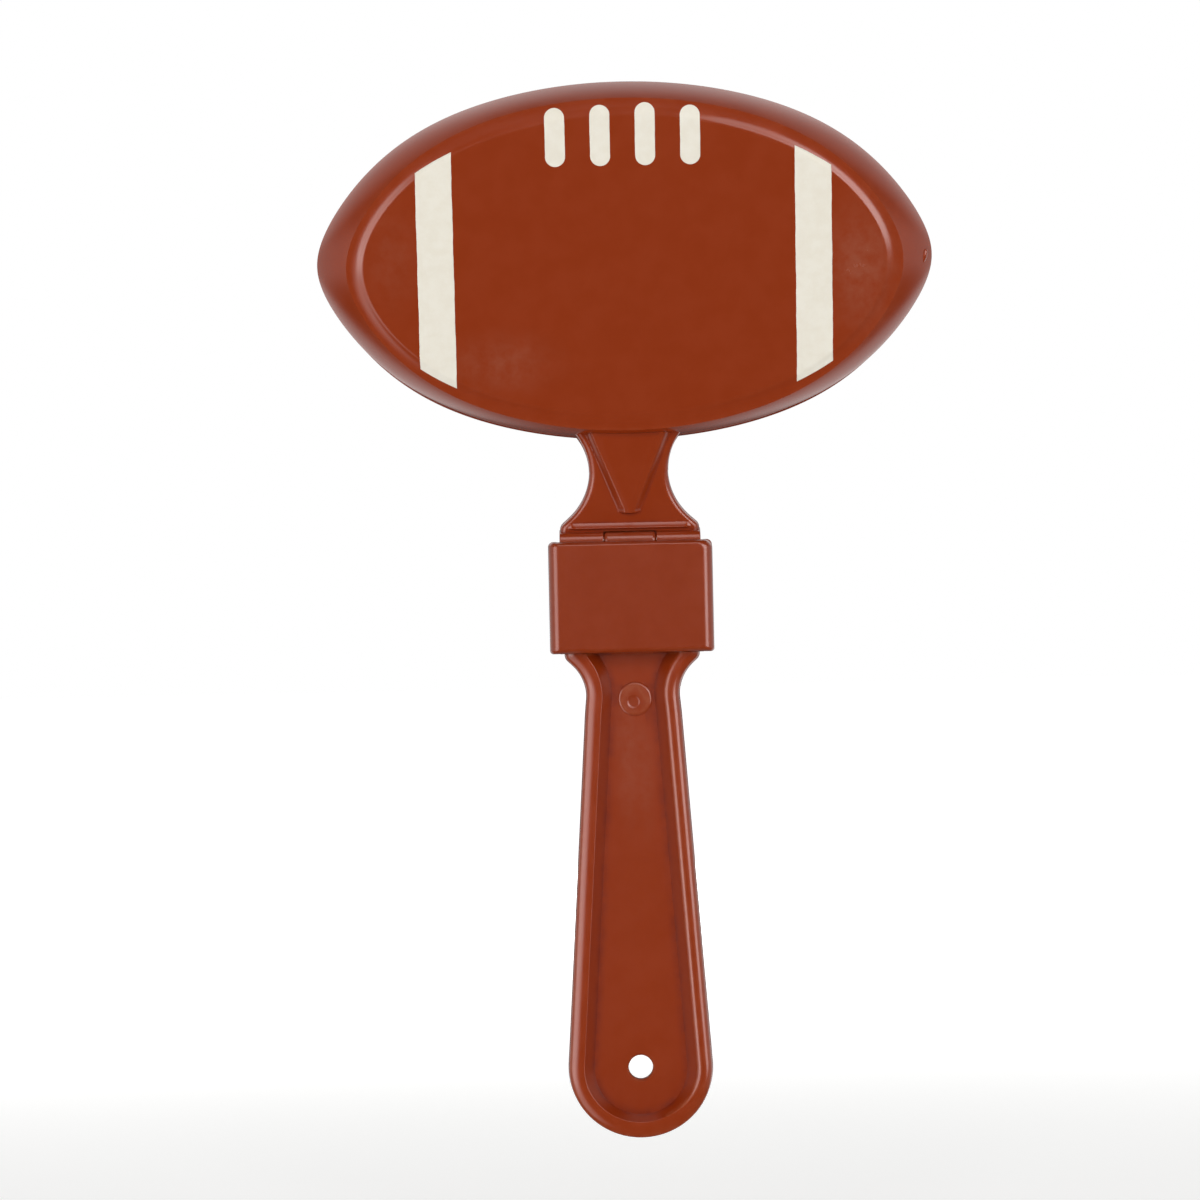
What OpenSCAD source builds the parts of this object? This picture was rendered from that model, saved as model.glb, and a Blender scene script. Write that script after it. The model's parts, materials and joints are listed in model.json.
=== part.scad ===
// Football clapper, a hand-held noisemaker. Two hollow football-shaped paddles swing on pins
// at a cuff and strike the flat board that stands up from the handle between them.
// Sizes are in millimetres. The origin is the centre of the hang hole in the handle's end,
// +Z runs up the handle to the footballs, and the front of the clapper faces -Y.

/* [Football paddles] */
// Width of a football from tip to tip
paddle_w = 109; // [96:0.5:120]
// Height of a football at its middle
paddle_h = 63.5; // [54:0.5:72]
// How far the outline is drawn in towards its tips, as a share of its height
tip_draw = 0.27; // [0.15:0.01:0.45]
// Depth of a paddle from its striking edge to its face panel
paddle_depth = 6.4; // [5.4:0.1:8]
// Height of the face panel above the ledge round it
panel_step = 0.8; // [0.4:0.1:1.2]
// How far the face panel's outline is drawn in towards its tips, as a share of its height
panel_draw = 0.1; // [0:0.01:0.2]
// Width of the rounded edge, at the top and bottom of the football
edge_w = 2.3; // [1.6:0.1:3]
// Width of the rounded edge, at the tips of the football
edge_tip_w = 5.1; // [3.5:0.1:6.5]
// Width of the ledge between the rounded edge and the step up to the face panel
ledge_w = 1.8; // [1:0.1:3]
// How far the ledge rises from the rounded edge to the step
ledge_rise = 0.3; // [0.1:0.1:0.6]
// Width of the step from the ledge up to the face panel
step_w = 0.8; // [0.5:0.1:1.2]
// Thickness of the moulded wall of a paddle
shell_wall = 1.5; // [1.2:0.1:1.8]

/* [Paddle neck] */
// Height of the football's lower edge above the hinge axis
neck_len = 18.2; // [16:0.1:24]
// Width of the neck at its waist
neck_waist_w = 14.2; // [11:0.1:18]
// Height of the waist above the hinge axis
neck_waist_rise = 12.4; // [11.5:0.1:13.5]
// Radius of the hollow sides of the neck
neck_side_r = 11.2; // [10.5:0.1:14]
// Width of the foot of the neck, which is also the length of the hinge barrel
foot_w = 25.2; // [22:0.1:26]
// Thickness of the neck
neck_t = 2.2; // [1.8:0.1:2.6]
// Distance from the striking edge of the football to the back of the neck
neck_setback = 0.5; // [0.3:0.1:0.8]
// Thickness of the round bead across the foot of the neck
bead_d = 1.5; // [1:0.1:1.8]
// Height of the tapered tongue on the neck where it meets the football
tongue_h = 1.2; // [0.6:0.1:1.4]
// Width of the tongue where it meets the football
tongue_w = 13; // [9:0.1:14]
// Width of the tongue at its lower end
tongue_end_w = 4; // [3:0.1:6]
// Height of the tongue's lower end above the hinge axis
tongue_end_rise = 6; // [5:0.1:8]

/* [Hinges] */
// Angle that a paddle swings from striking the board out to its stop
swing = 12; // [8:0.5:16]
// Height of the hinge axis above the cuff's top edge
hinge_rise = -0.1; // [-0.6:0.1:1.2]
// Diameter of the hinge barrel
barrel_d = 3.2; // [2.8:0.1:3.6]
// Diameter of the hinge pin
pin_d = 1.6; // [1.2:0.1:1.8]
// Width of the cuff's lug in the middle of the barrel
lug_w = 9; // [7:0.1:11]
// Length of the stop tails below the hinge axis
tail_len = 7; // [6:0.1:8]
// Thickness of the stop tails
tail_t = 1.4; // [1.2:0.1:1.6]

/* [Cuff] */
// Width of the cuff
cuff_w = 29.5; // [28.8:0.1:33]
// Height of the cuff
cuff_h = 20.2; // [18:0.1:24]
// Depth of each half of the cuff, from the middle of the clapper to its front face
cuff_depth = 8.2; // [8:0.1:9.5]
// Thickness of the cuff's walls
cuff_wall = 1.5; // [1.2:0.1:1.7]
// Radius of the rounded edges of the cuff's face
cuff_edge_r = 1.3; // [0.6:0.1:1.8]
// Radius of the corners of the cuff
cuff_corner_r = 1; // [0.6:0.1:2.4]
// Diameter of the pegs that hold the two halves of the cuff together
peg_d = 3; // [2:0.1:3.4]
// Distance between the peg and the socket of a cuff half
peg_pitch = 14; // [10:0.1:18]
// Height of the pegs above the bottom of the cuff
peg_rise = 6; // [5:0.1:7]
// Wall of the bosses round the pegs and sockets
boss_wall = 1.1; // [0.8:0.1:1.4]

/* [Handle] */
// Length of the grip from the hang hole up to the cuff
grip_len = 74.5; // [68:0.5:100]
// Width of the grip at its round end
grip_end_w = 25.9; // [22:0.1:28]
// Distance from the hang hole down to the bottom of the round end
grip_end_drop = 12.5; // [11:0.1:14]
// Width of the grip at its waist below the cuff
grip_waist_w = 17; // [14:0.1:19]
// Distance from the waist up to the cuff
grip_flare_len = 8; // [7.4:0.1:9]
// Radius of the flare between the waist and the cuff
grip_flare_r = 7.2; // [6.6:0.1:8.6]
// Width of the grip where it meets the cuff
grip_top_w = 24.4; // [22:0.1:27]
// Thickness of the grip over its rims
grip_t = 9; // [7:0.1:11]
// Thickness of the recessed panel of the grip
grip_web_t = 3; // [2:0.1:4]
// Width of the rim round the recessed panel
grip_rim_w = 3.1; // [2.4:0.1:4]
// Width of the sloping wall from the rim down to the panel
grip_wall_slope = 1.4; // [0.8:0.1:2]
// Radius of the rim's rounded edges
grip_edge_r = 1.1; // [0.6:0.1:1.2]
// Diameter of the hang hole
hang_hole_d = 4.4; // [3:0.1:6]

/* [Striking board] */
// Thickness of the board between the paddles, and of its neck
board_t = 2.5; // [2:0.1:3]
// How far the board's edge lies inside the edge of the paddles
board_inset = 0.3; // [0:0.1:1]
// Size of the sloped edge of the board
board_edge = 0.4; // [0.2:0.1:0.8]

/* [Printed marks] */
// Thickness of the ink
ink_t = 0.1; // [0.05:0.01:0.2]
// Width of the stripes
stripe_w = 6.3; // [4:0.1:9]
// Distance between the middles of the two stripes
stripe_pitch = 66.6; // [56:0.1:72]
// Width of the lace marks
lace_w = 3.5; // [2.5:0.1:5]
// Length of the lace marks, down from the upper edge of the face panel
lace_len = 10.2; // [7:0.1:14]
// Distance between neighbouring lace marks
lace_pitch = 7.9; // [6:0.1:9]
// Number of lace marks
lace_count = 4; // [3:1:5]

/* [Hidden] */
$fn = 48;

// Clearances
strike_gap = 0.1;     // between a closed paddle and the board
stop_gap = 0.06;      // between a stop tail and the collar
swing_gap = 0.3;      // round moving pieces
pin_gap = 0.05;       // radial, where a paddle turns on its pin
pin_seat_gap = 0.01;  // radial, where the cuff's lug holds the pin
fit_gap = 0.05;       // between pieces that are fitted together
peg_gap = 0.03;       // radial, between a peg and its socket
weld = 0.6;           // how far joined shapes of one piece reach into each other

// Colours
brown = [0.56, 0.22, 0.09];
cream = [0.92, 0.90, 0.84];
steel = [0.75, 0.75, 0.77];

// Smoothness: steps along each curve
outline_steps = 48;
edge_steps = 8;
step_steps = 4;
end_steps = 20;
flare_steps = 10;
corner_steps = 6;
round_steps = 3;

// Small choices of shape
draw_power = 7;         // the higher it is, the nearer to the tips the outline is drawn in
hollow_shoulder = 0.5;  // where the hollow's wall turns, as a share of the rounded edge's width
tail_lead = 0.45;       // how far the front of a stop tail lies in front of the hinge axis
socket_floor = 0.75;    // left of the cuff's face behind a peg's socket
corner_r_least = 0.3;   // radius that a corner keeps on the cuff's face
flare_run = 0.4;        // least height of the straight side above the grip's flare
on_line = 0.001;        // a point this near to the middle line lies on it

// Heights up the handle
cuff_bottom = grip_len;
grip_top = cuff_bottom - fit_gap;
cuff_top = cuff_bottom + cuff_h;
hinge_z = cuff_top + hinge_rise;
football_bottom = hinge_z + neck_len;
football_mid = football_bottom + paddle_h / 2;
bead_z = hinge_z + barrel_d / 2 + swing_gap + bead_d / 2;
tail_bottom = hinge_z - tail_len;
collar_top = tail_bottom + tail_len / 2;
peg_z = cuff_bottom + peg_rise;

// Distances in front of the clapper's middle plane
strike_plane = board_t / 2 + strike_gap;
panel_plane = strike_plane + paddle_depth;
neck_back = strike_plane + neck_setback;
neck_front = neck_back + neck_t;
cuff_inside = cuff_depth - cuff_wall;
hinge_y = cuff_inside - barrel_d / 2 - swing_gap;
tail_back = hinge_y + tail_lead - tail_t;
collar_half = hinge_y - (tail_t - tail_lead) * cos(swing) - tail_len * sin(swing) - stop_gap;
socket_end = cuff_inside + cuff_wall - socket_floor;
peg_end = socket_end - swing_gap;

// Heights above the striking edge of a paddle
edge_rise = paddle_depth - panel_step - ledge_rise;
ledge_top = edge_rise + ledge_rise;

// Widths
cuff_inner_w = cuff_w - 2 * cuff_wall;
collar_w = cuff_inner_w - 2 * fit_gap;
spigot_w = grip_waist_w - 2 * weld;
spigot_t = grip_web_t - 2 * weld;
knuckle_start = lug_w / 2 + swing_gap;
knuckle_len = foot_w / 2 - knuckle_start;
tail_w = knuckle_len - 2 * swing_gap;
panel_inset = edge_w + ledge_w + step_w;
panel_tip_inset = edge_tip_w + ledge_w + step_w;
peg_x = peg_pitch / 2;
boss_d = peg_d + 2 * boss_wall;

// Closed solid through rings, given from the front to the back. A ring is its distance in front of the
// middle and the right half of its outline in x and z, from its lower end to its upper end, and its
// left half is alike. All the rings of a solid have the same number of points.
module loft(rings) {
    h = len(rings[0][1]);
    low = on_middle(rings[0][1][0]);
    n = 2 * h - (low ? 1 : 0) - (on_middle(rings[0][1][h - 1]) ? 1 : 0);
    last = (len(rings) - 1) * n;
    points = [for (r = rings) each concat(
        [for (p = r[1]) [p[0], -r[0], p[1]]],
        [for (j = [h - 1:-1:0]) let (p = r[1][j]) if (!on_middle(p)) [-p[0], -r[0], p[1]]])];
    sides = [for (i = [0:len(rings) - 2], j = [0:n - 1])
             let (a = i * n + j, b = i * n + (j + 1) % n)
             each [[a, b, b + n], [a, b + n, a + n]]];
    cap = [for (j = [0:h - 2])
           let (left = low ? (n - j) % n : n - 1 - j, next_left = low ? n - j - 1 : n - 2 - j)
           each concat(left == j ? [] : [[j, j + 1, left]],
                       next_left == j + 1 ? [] : [[j + 1, next_left, left]])];
    front_cap = [for (f = cap) [f[2], f[1], f[0]]];
    back_cap = [for (f = cap) [last + f[0], last + f[1], last + f[2]]];
    polyhedron(points, concat(front_cap, sides, back_cap));
}

// Whether a point of an outline lies on the clapper's middle line
function on_middle(p) = abs(p[0]) < on_line;

// Quarter turn of a rounded edge of radius r, from its front to its side: each point is its distance
// behind the front and its distance in from the side
function round_edge(r) =
    [for (i = [0:round_steps])
     let (t = 90 * i / round_steps)
     [r * (1 - cos(t)), r * (1 - sin(t))]];

// Right half of a football outline: an ellipse of half sizes a and b, drawn in towards its tips
function football(a, b, draw) =
    [for (i = [0:outline_steps])
     let (t = 180 * i / outline_steps - 90)
     [a * cos(t), football_mid + b * sin(t) * (1 - draw * pow(abs(cos(t)), draw_power))]];

// The same outline as a ring of a paddle, at a height above the striking edge. It is set in from the
// edge by shares of the widths of the rounded edge, the ledge and the step, and by a wall.
function football_ring(rise, edge, ledge, step, wall = 0) =
    let (past_edge = ledge_w * ledge + step_w * step + wall,
         inset = edge_w * edge + past_edge,
         tip_inset = edge_tip_w * edge + past_edge,
         draw = tip_draw + (panel_draw - tip_draw) * inset / panel_inset)
    [strike_plane + rise, football(paddle_w / 2 - tip_inset, paddle_h / 2 - inset, draw)];

// Rings of a paddle's shell: from the face panel down the step and over the ledge to the striking edge,
// then up into the hollow behind
function shell_rings() = concat(
    [for (i = [step_steps:-1:0])
     let (s = i / step_steps)
     football_ring(ledge_top + panel_step * (1 - cos(90 * s)), 1, 1, s)],
    [for (i = [edge_steps:-1:0])
     let (t = 90 * i / edge_steps)
     football_ring(edge_rise * sin(t), 1 - cos(t), 0, 0)],
    [football_ring(0, 0, 0, 0, shell_wall),
     football_ring(edge_rise - shell_wall, hollow_shoulder, 0, 0, shell_wall),
     football_ring(paddle_depth - shell_wall, 1, 1, 1)]);

// Puts a flat outline drawn in x and z into the clapper, from one distance in front of the middle to another
module plate(back, front) {
    translate([0, -back, 0]) rotate([90, 0, 0]) linear_extrude(front - back) children();
}

// Round bar along the width of the clapper
module cross_bar(d, x0, x1, front, z) {
    translate([x0, -front, z]) rotate([0, 90, 0]) cylinder(d = d, h = x1 - x0);
}

// Round bar from back to front
module depth_bar(d, x, z, back, front) {
    translate([x, -back, z]) rotate([90, 0, 0]) cylinder(d = d, h = front - back);
}

// A box by its corners: x, distance in front of the middle, and height
module block(x0, x1, back, front, z0, z1) {
    translate([x0, -front, z0]) cube([x1 - x0, front - back, z1 - z0]);
}

// Turns a closed front paddle out to its stop, where it rests when the clapper is held upright
module at_stop() {
    translate([0, -hinge_y, hinge_z]) rotate([swing, 0, 0]) translate([0, hinge_y, -hinge_z]) children();
}

// The rear pieces are the front ones turned round the handle
module turned_to_rear() {
    rotate([0, 0, 180]) children();
}

// Neck outline in x and z, with hollow sides, from a given height up to a given height
module neck_outline(z0, z1) {
    difference() {
        translate([-foot_w / 2, z0]) square([foot_w, z1 - z0]);
        for (side = [-1, 1])
            translate([side * (neck_waist_w / 2 + neck_side_r), hinge_z + neck_waist_rise])
                circle(r = neck_side_r, $fn = 96);
    }
}

// Tapered tongue that carries the football's depth down into the neck
module tongue() {
    top = football_bottom + shell_wall;
    end = hinge_z + tongue_end_rise;
    base_x = tongue_w / 2;
    end_x = tongue_end_w / 2;
    crest_x = base_x - tongue_h;
    hull() {
        plate(neck_front - weld, neck_front)
            polygon([[-base_x, top], [base_x, top], [end_x, end], [-end_x, end]]);
        plate(neck_front, neck_front + tongue_h)
            polygon([[-crest_x, top], [crest_x, top], [0, top - tongue_h]]);
    }
}

// One knuckle of a paddle's hinge, on one side of the cuff's lug, with its arm to the neck and its stop tail
module knuckle(side) {
    mid = side * (knuckle_start + knuckle_len / 2);
    x0 = mid - knuckle_len / 2;
    x1 = mid + knuckle_len / 2;
    cross_bar(barrel_d, x0, x1, hinge_y, hinge_z);
    block(x0, x1, neck_back, hinge_y, hinge_z, hinge_z + barrel_d / 2);
    block(mid - tail_w / 2, mid + tail_w / 2, tail_back, tail_back + tail_t, tail_bottom, hinge_z);
}

// A paddle in its closed place, lying on the board: football shell, neck and hinge knuckles
module closed_paddle() {
    difference() {
        union() {
            loft(shell_rings());
            plate(neck_back, neck_front) neck_outline(hinge_z, football_bottom + shell_wall);
            tongue();
            cross_bar(bead_d, -foot_w / 2, foot_w / 2, neck_front, bead_z);
            for (side = [-1, 1]) knuckle(side);
        }
        block(-knuckle_start, knuckle_start, 0, cuff_depth, tail_bottom, bead_z - bead_d / 2);
        cross_bar(pin_d + 2 * pin_gap, -foot_w, foot_w, hinge_y, hinge_z);
    }
}

module paddle() {
    color(brown) at_stop() closed_paddle();
}

// Outline of the flat face panel in x and z
module panel_outline() {
    right = football(paddle_w / 2 - panel_tip_inset, paddle_h / 2 - panel_inset, panel_draw);
    polygon(concat(right, [for (i = [outline_steps - 1:-1:1]) [-right[i][0], right[i][1]]]));
}

// Ink lies on the panel of a paddle at its stop, and ends at the edge of the panel
module ink() {
    color(cream) at_stop()
        plate(panel_plane, panel_plane + ink_t)
            intersection() {
                panel_outline();
                children();
            }
}

module stripes() {
    ink()
        for (side = [-1, 1])
            translate([side * stripe_pitch / 2 - stripe_w / 2, football_bottom]) square([stripe_w, paddle_h]);
}

module laces() {
    end_z = football_mid + paddle_h / 2 - panel_inset - lace_len + lace_w / 2;
    ink()
        for (i = [0:lace_count - 1])
            translate([(i - (lace_count - 1) / 2) * lace_pitch, end_z]) {
                circle(d = lace_w);
                translate([-lace_w / 2, 0]) square([lace_w, lace_len]);
            }
}

module hinge_pin() {
    color(steel) cross_bar(pin_d, -foot_w / 2 + fit_gap, foot_w / 2 - fit_gap, hinge_y, hinge_z);
}

// Rounded rectangle ring of the cuff, set in from its sides, at a distance in front of the middle
function cuff_ring(front, inset) =
    let (r = max(cuff_corner_r - inset, corner_r_least),
         x = cuff_w / 2 - inset - r,
         z = cuff_h / 2 - inset - r,
         mid = cuff_bottom + cuff_h / 2)
    [front, [for (side = [-1, 1], i = [0:corner_steps])
             let (t = 90 * i / corner_steps + (side < 0 ? -90 : 0))
             [x + r * cos(t), mid + side * z + r * sin(t)]]];

// Outside of one half of the cuff, with rounded edges round its face
module cuff_body() {
    loft(concat([for (p = round_edge(cuff_edge_r)) cuff_ring(cuff_depth - p[0], p[1])],
                [cuff_ring(fit_gap / 2, 0)]));
}

// One half of the cuff: an open-backed box with the hinge lug, one peg and one socket
module cuff_half() {
    collar_seat = collar_half + fit_gap;
    boss_front = cuff_inside + weld;
    lug_back = hinge_y - barrel_d / 2 + swing_gap;
    inside_x = cuff_inner_w / 2;
    lug_x = lug_w / 2;
    color(brown)
    difference() {
        union() {
            difference() {
                cuff_body();
                block(-inside_x, inside_x, -cuff_wall, cuff_inside, cuff_bottom + cuff_wall, cuff_top + cuff_wall);
                block(-inside_x, inside_x, -cuff_wall, collar_seat, cuff_bottom - cuff_wall, cuff_top);
            }
            block(-lug_x, lug_x, lug_back, boss_front, tail_bottom, cuff_top - weld);
            block(-lug_x, lug_x, lug_back, hinge_y, tail_bottom, hinge_z);
            cross_bar(barrel_d, -lug_x, lug_x, hinge_y, hinge_z);
            for (side = [-1, 1]) depth_bar(boss_d, side * peg_x, peg_z, collar_seat, boss_front);
            depth_bar(peg_d, peg_x, peg_z, -peg_end, boss_front);
        }
        cross_bar(pin_d + 2 * pin_seat_gap, -lug_w, lug_w, hinge_y, hinge_z);
        depth_bar(peg_d + 2 * peg_gap, -peg_x, peg_z, collar_seat - weld, socket_end);
    }
}

// Ring of the grip's outline at a distance in front of the middle, set in from its sides and round end,
// up to a given height. The flare stops at the width that the grip has at the cuff, or just below the
// given height, and runs straight up from there.
function grip_ring(front, inset, top_z) =
    let (r_end = grip_end_w / 2,
         waist_z = cuff_bottom - grip_flare_len,
         taper = atan((r_end - grip_waist_w / 2) / waist_z),
         flare_x = grip_waist_w / 2 + grip_flare_r * cos(taper),
         flare_z = waist_z + grip_flare_r * sin(taper),
         r_flare = grip_flare_r + inset,
         at_height = 180 - asin(min(1, (top_z - flare_run - flare_z) / r_flare)),
         at_width = acos((grip_top_w / 2 - inset - flare_x) / r_flare),
         last = max(at_height, at_width),
         round_end = [for (i = [0:end_steps])
                      let (t = (90 + taper) * i / end_steps - 90)
                      [(r_end - inset) * cos(t), ((t < 0 ? grip_end_drop : r_end) - inset) * sin(t)]],
         flare = [for (i = [0:flare_steps])
                  let (t = 180 + taper - (180 + taper - last) * i / flare_steps)
                  [flare_x + r_flare * cos(t), flare_z + r_flare * sin(t)]])
    [front, concat(round_end, flare, [[flare_x + r_flare * cos(last), top_z]])];

// Solid outside of the grip, with rounded edges
module grip_body() {
    edge = round_edge(grip_edge_r);
    front = grip_t / 2;
    loft(concat([for (p = edge) grip_ring(front - p[0], p[1], grip_top)],
                [for (i = [round_steps:-1:0]) grip_ring(edge[i][0] - front, edge[i][1], grip_top)]));
}

// Recess in the front of the grip, from above the rim down to the panel, and open at the cuff
module grip_recess() {
    front = grip_t / 2;
    lip = grip_rim_w - grip_edge_r;
    loft(concat([grip_ring(front + grip_edge_r, lip - grip_edge_r, grip_top + weld)],
                [for (p = round_edge(grip_edge_r)) grip_ring(front - p[0], grip_rim_w - p[1], grip_top + weld)],
                [grip_ring(grip_web_t / 2, grip_rim_w + grip_wall_slope, grip_top + weld)]));
}

module grip() {
    difference() {
        grip_body();
        grip_recess();
        turned_to_rear() grip_recess();
    }
}

// Flat board that the paddles strike
module board() {
    edge = board_t / 2 - board_edge;
    loft([for (p = [[board_t / 2, board_edge], [edge, 0], [-edge, 0], [-board_t / 2, board_edge]])
          let (inset = board_inset + p[1])
          [p[0], football(paddle_w / 2 - inset, paddle_h / 2 - inset, tip_draw)]]);
}

// Handle: grip, collar inside the cuff, neck and board, all one moulding
module handle() {
    color(brown)
    difference() {
        union() {
            grip();
            block(-collar_w / 2, collar_w / 2, -collar_half, collar_half, grip_top, collar_top);
            block(-spigot_w / 2, spigot_w / 2, -spigot_t / 2, spigot_t / 2, grip_top - weld, collar_top);
            plate(-board_t / 2, board_t / 2) neck_outline(collar_top - weld, football_bottom + board_inset + weld);
            board();
        }
        depth_bar(hang_hole_d, 0, 0, -grip_t, grip_t);
        for (side = [-1, 1])
            depth_bar(peg_d + 2 * fit_gap, side * peg_x, peg_z, -grip_t, grip_t);
    }
}

handle();
cuff_half();  // front_cuff
turned_to_rear() cuff_half();  // rear_cuff
hinge_pin();  // front_hinge_pin
turned_to_rear() hinge_pin();  // rear_hinge_pin
paddle();  // front_paddle
turned_to_rear() paddle();  // rear_paddle
stripes();  // front_stripes
laces();  // front_laces
turned_to_rear() stripes();  // rear_stripes
turned_to_rear() laces();  // rear_laces
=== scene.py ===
import json
import math

import bmesh
import bpy
import numpy as np
from mathutils import Matrix, Vector


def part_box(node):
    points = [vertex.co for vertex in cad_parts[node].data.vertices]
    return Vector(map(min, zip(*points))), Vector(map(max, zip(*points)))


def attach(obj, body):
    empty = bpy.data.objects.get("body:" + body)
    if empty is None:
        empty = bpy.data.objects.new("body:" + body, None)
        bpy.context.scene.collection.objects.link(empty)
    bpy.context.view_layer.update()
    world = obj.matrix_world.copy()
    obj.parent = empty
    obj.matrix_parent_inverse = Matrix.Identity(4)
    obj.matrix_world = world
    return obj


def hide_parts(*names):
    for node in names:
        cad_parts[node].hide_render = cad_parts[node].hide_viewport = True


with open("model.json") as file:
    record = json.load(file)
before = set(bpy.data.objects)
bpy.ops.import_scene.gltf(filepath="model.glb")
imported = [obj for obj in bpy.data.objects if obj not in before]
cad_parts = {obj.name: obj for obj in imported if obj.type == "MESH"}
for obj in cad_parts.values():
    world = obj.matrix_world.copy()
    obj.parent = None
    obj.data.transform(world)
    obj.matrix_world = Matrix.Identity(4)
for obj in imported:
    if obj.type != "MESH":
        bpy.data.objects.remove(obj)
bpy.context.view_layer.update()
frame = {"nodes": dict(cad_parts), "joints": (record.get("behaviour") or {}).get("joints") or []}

mm = 0.001
swingJoint = next(joint for joint in frame["joints"] if joint["name"] == "front_paddle_swing")
hingeFront = -swingJoint["pos_m"][1] / mm
hingeHeight = swingJoint["pos_m"][2] / mm
swingAngle = math.radians(swingJoint["range_deg"][1] - swingJoint["range_deg"][0])
paddleLow, paddleHigh = [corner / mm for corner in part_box("front_paddle")]
cuffLow, cuffHigh = [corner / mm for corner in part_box("front_cuff")]

hingeCentre = (0, -hingeFront, hingeHeight)
hingePoint = Vector(hingeCentre)
swingOut = Matrix.Rotation(swingAngle, 4, "X")
toStop = Matrix.Translation(hingePoint) @ swingOut @ Matrix.Translation(-hingePoint)
toRear = Matrix.Rotation(math.pi, 4, "Z")
toMetres = Matrix.Scale(mm, 4)
asDrawn = Matrix.Identity(4)

# sides of round tools: bores, and the wide round forms on the grip's panel
boreSides = 32
wideSides = 56


# mesh helpers

def smooth(value, low=0.0, high=1.0):
    share = np.clip((np.asarray(value, float) - low) / (high - low), 0, 1)
    return share * share * (3 - 2 * share)


# quarter circle in even steps: (1 - cosine, 1 - sine) of each angle
def quarterTurn(steps, first=0):
    angles = [math.pi / 2 * i / steps for i in range(first, steps + 1)]
    return [(1 - math.cos(t), 1 - math.sin(t)) for t in angles]


def newObject(name, data):
    made = bpy.data.objects.new(name, data)
    bpy.context.scene.collection.objects.link(made)
    return made


def closedPiece(name, points, faces):
    mesh = bpy.data.meshes.new(name)
    mesh.from_pydata([tuple(p) for p in points], [], faces)
    work = bmesh.new()
    work.from_mesh(mesh)
    bmesh.ops.remove_doubles(work, verts=work.verts, dist=1e-5)
    bmesh.ops.recalc_face_normals(work, faces=work.faces)
    work.to_mesh(mesh)
    work.free()
    return newObject(name, mesh)


def loft(name, rings):
    count = len(rings[0])
    faces = [tuple(range(count - 1, -1, -1))]
    for i in range(len(rings) - 1):
        low = i * count
        high = low + count
        for j in range(count):
            k = (j + 1) % count
            faces.append((low + j, low + k, high + k, high + j))
    last = (len(rings) - 1) * count
    faces.append(tuple(range(last, last + count)))
    return closedPiece(name, np.concatenate(rings), faces)


def ringAt(outline, front):
    ring = np.zeros((len(outline), 3))
    ring[:, 0] = outline[:, 0]
    ring[:, 1] = -front
    ring[:, 2] = outline[:, 1]
    return ring


# round bar along x (axis 0) or y (axis 1), from (place along it, radius) pairs
def turned(name, profile, axis, centre, steps=40):
    t = np.linspace(0, 2 * math.pi, steps, endpoint=False)
    across = 1 - axis
    rings = []
    for place, radius in profile:
        ring = np.zeros((steps, 3))
        ring[:, axis] = place
        ring[:, across] = centre[across] + radius * np.cos(t)
        ring[:, 2] = centre[2] + radius * np.sin(t)
        rings.append(ring)
    return loft(name, rings)


def roundBarProfile(start, end, radius, fillet, steps=5):
    rows = [(start + fillet * deep, radius - fillet * left) for deep, left in quarterTurn(steps)]
    return rows + [(start + end - place, wide) for place, wide in reversed(rows)]


# box by its x, front and z limits, with softened edges
def softBox(name, x, front, z, edge=0.0):
    points = [(a, -b, c) for a in x for b in front for c in z]
    faces = [(0, 1, 3, 2), (4, 6, 7, 5), (0, 4, 5, 1), (2, 3, 7, 6), (0, 2, 6, 4), (1, 5, 7, 3)]
    piece = closedPiece(name, points, faces)
    if edge > 0:
        work = bmesh.new()
        work.from_mesh(piece.data)
        bmesh.ops.bevel(work, geom=work.edges[:], offset=edge, segments=3, profile=0.5, affect="EDGES")
        work.to_mesh(piece.data)
        work.free()
    return piece


def combine(base, tool, how):
    step = base.modifiers.new(how, "BOOLEAN")
    step.operation = how
    step.solver = "EXACT"
    step.object = tool
    bpy.context.view_layer.update()
    solid = base.evaluated_get(bpy.context.evaluated_depsgraph_get())
    made = bpy.data.meshes.new_from_object(solid)
    base.modifiers.clear()
    spent = [base.data, tool.data]
    base.data = made
    bpy.data.objects.remove(tool)
    for mesh in spent:
        bpy.data.meshes.remove(mesh)


def join(base, tool):
    combine(base, tool, "UNION")


def cut(base, tool):
    combine(base, tool, "DIFFERENCE")


wear = {
    "largestFace": 20.0,   # mm2: larger faces are flat, and keep neither wear nor painted corner shade
    "shortEdge": 0.03,     # mm: shorter edges say nothing about the bend
    "reach": 1.0,          # mm: points joined by a shorter edge share their wear
    "rounds": 3,
    "mostBend": 4.0,
    "bend": (0.08, 1.2),   # 1/mm: bends with no wear and with full wear
}


# all values of one kind from a mesh's points, edges or faces
def readAll(items, label, width=1, kind=float):
    values = np.zeros(len(items) * width, kind)
    items.foreach_get(label, values)
    return values.reshape(-1, width) if width > 1 else values
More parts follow.
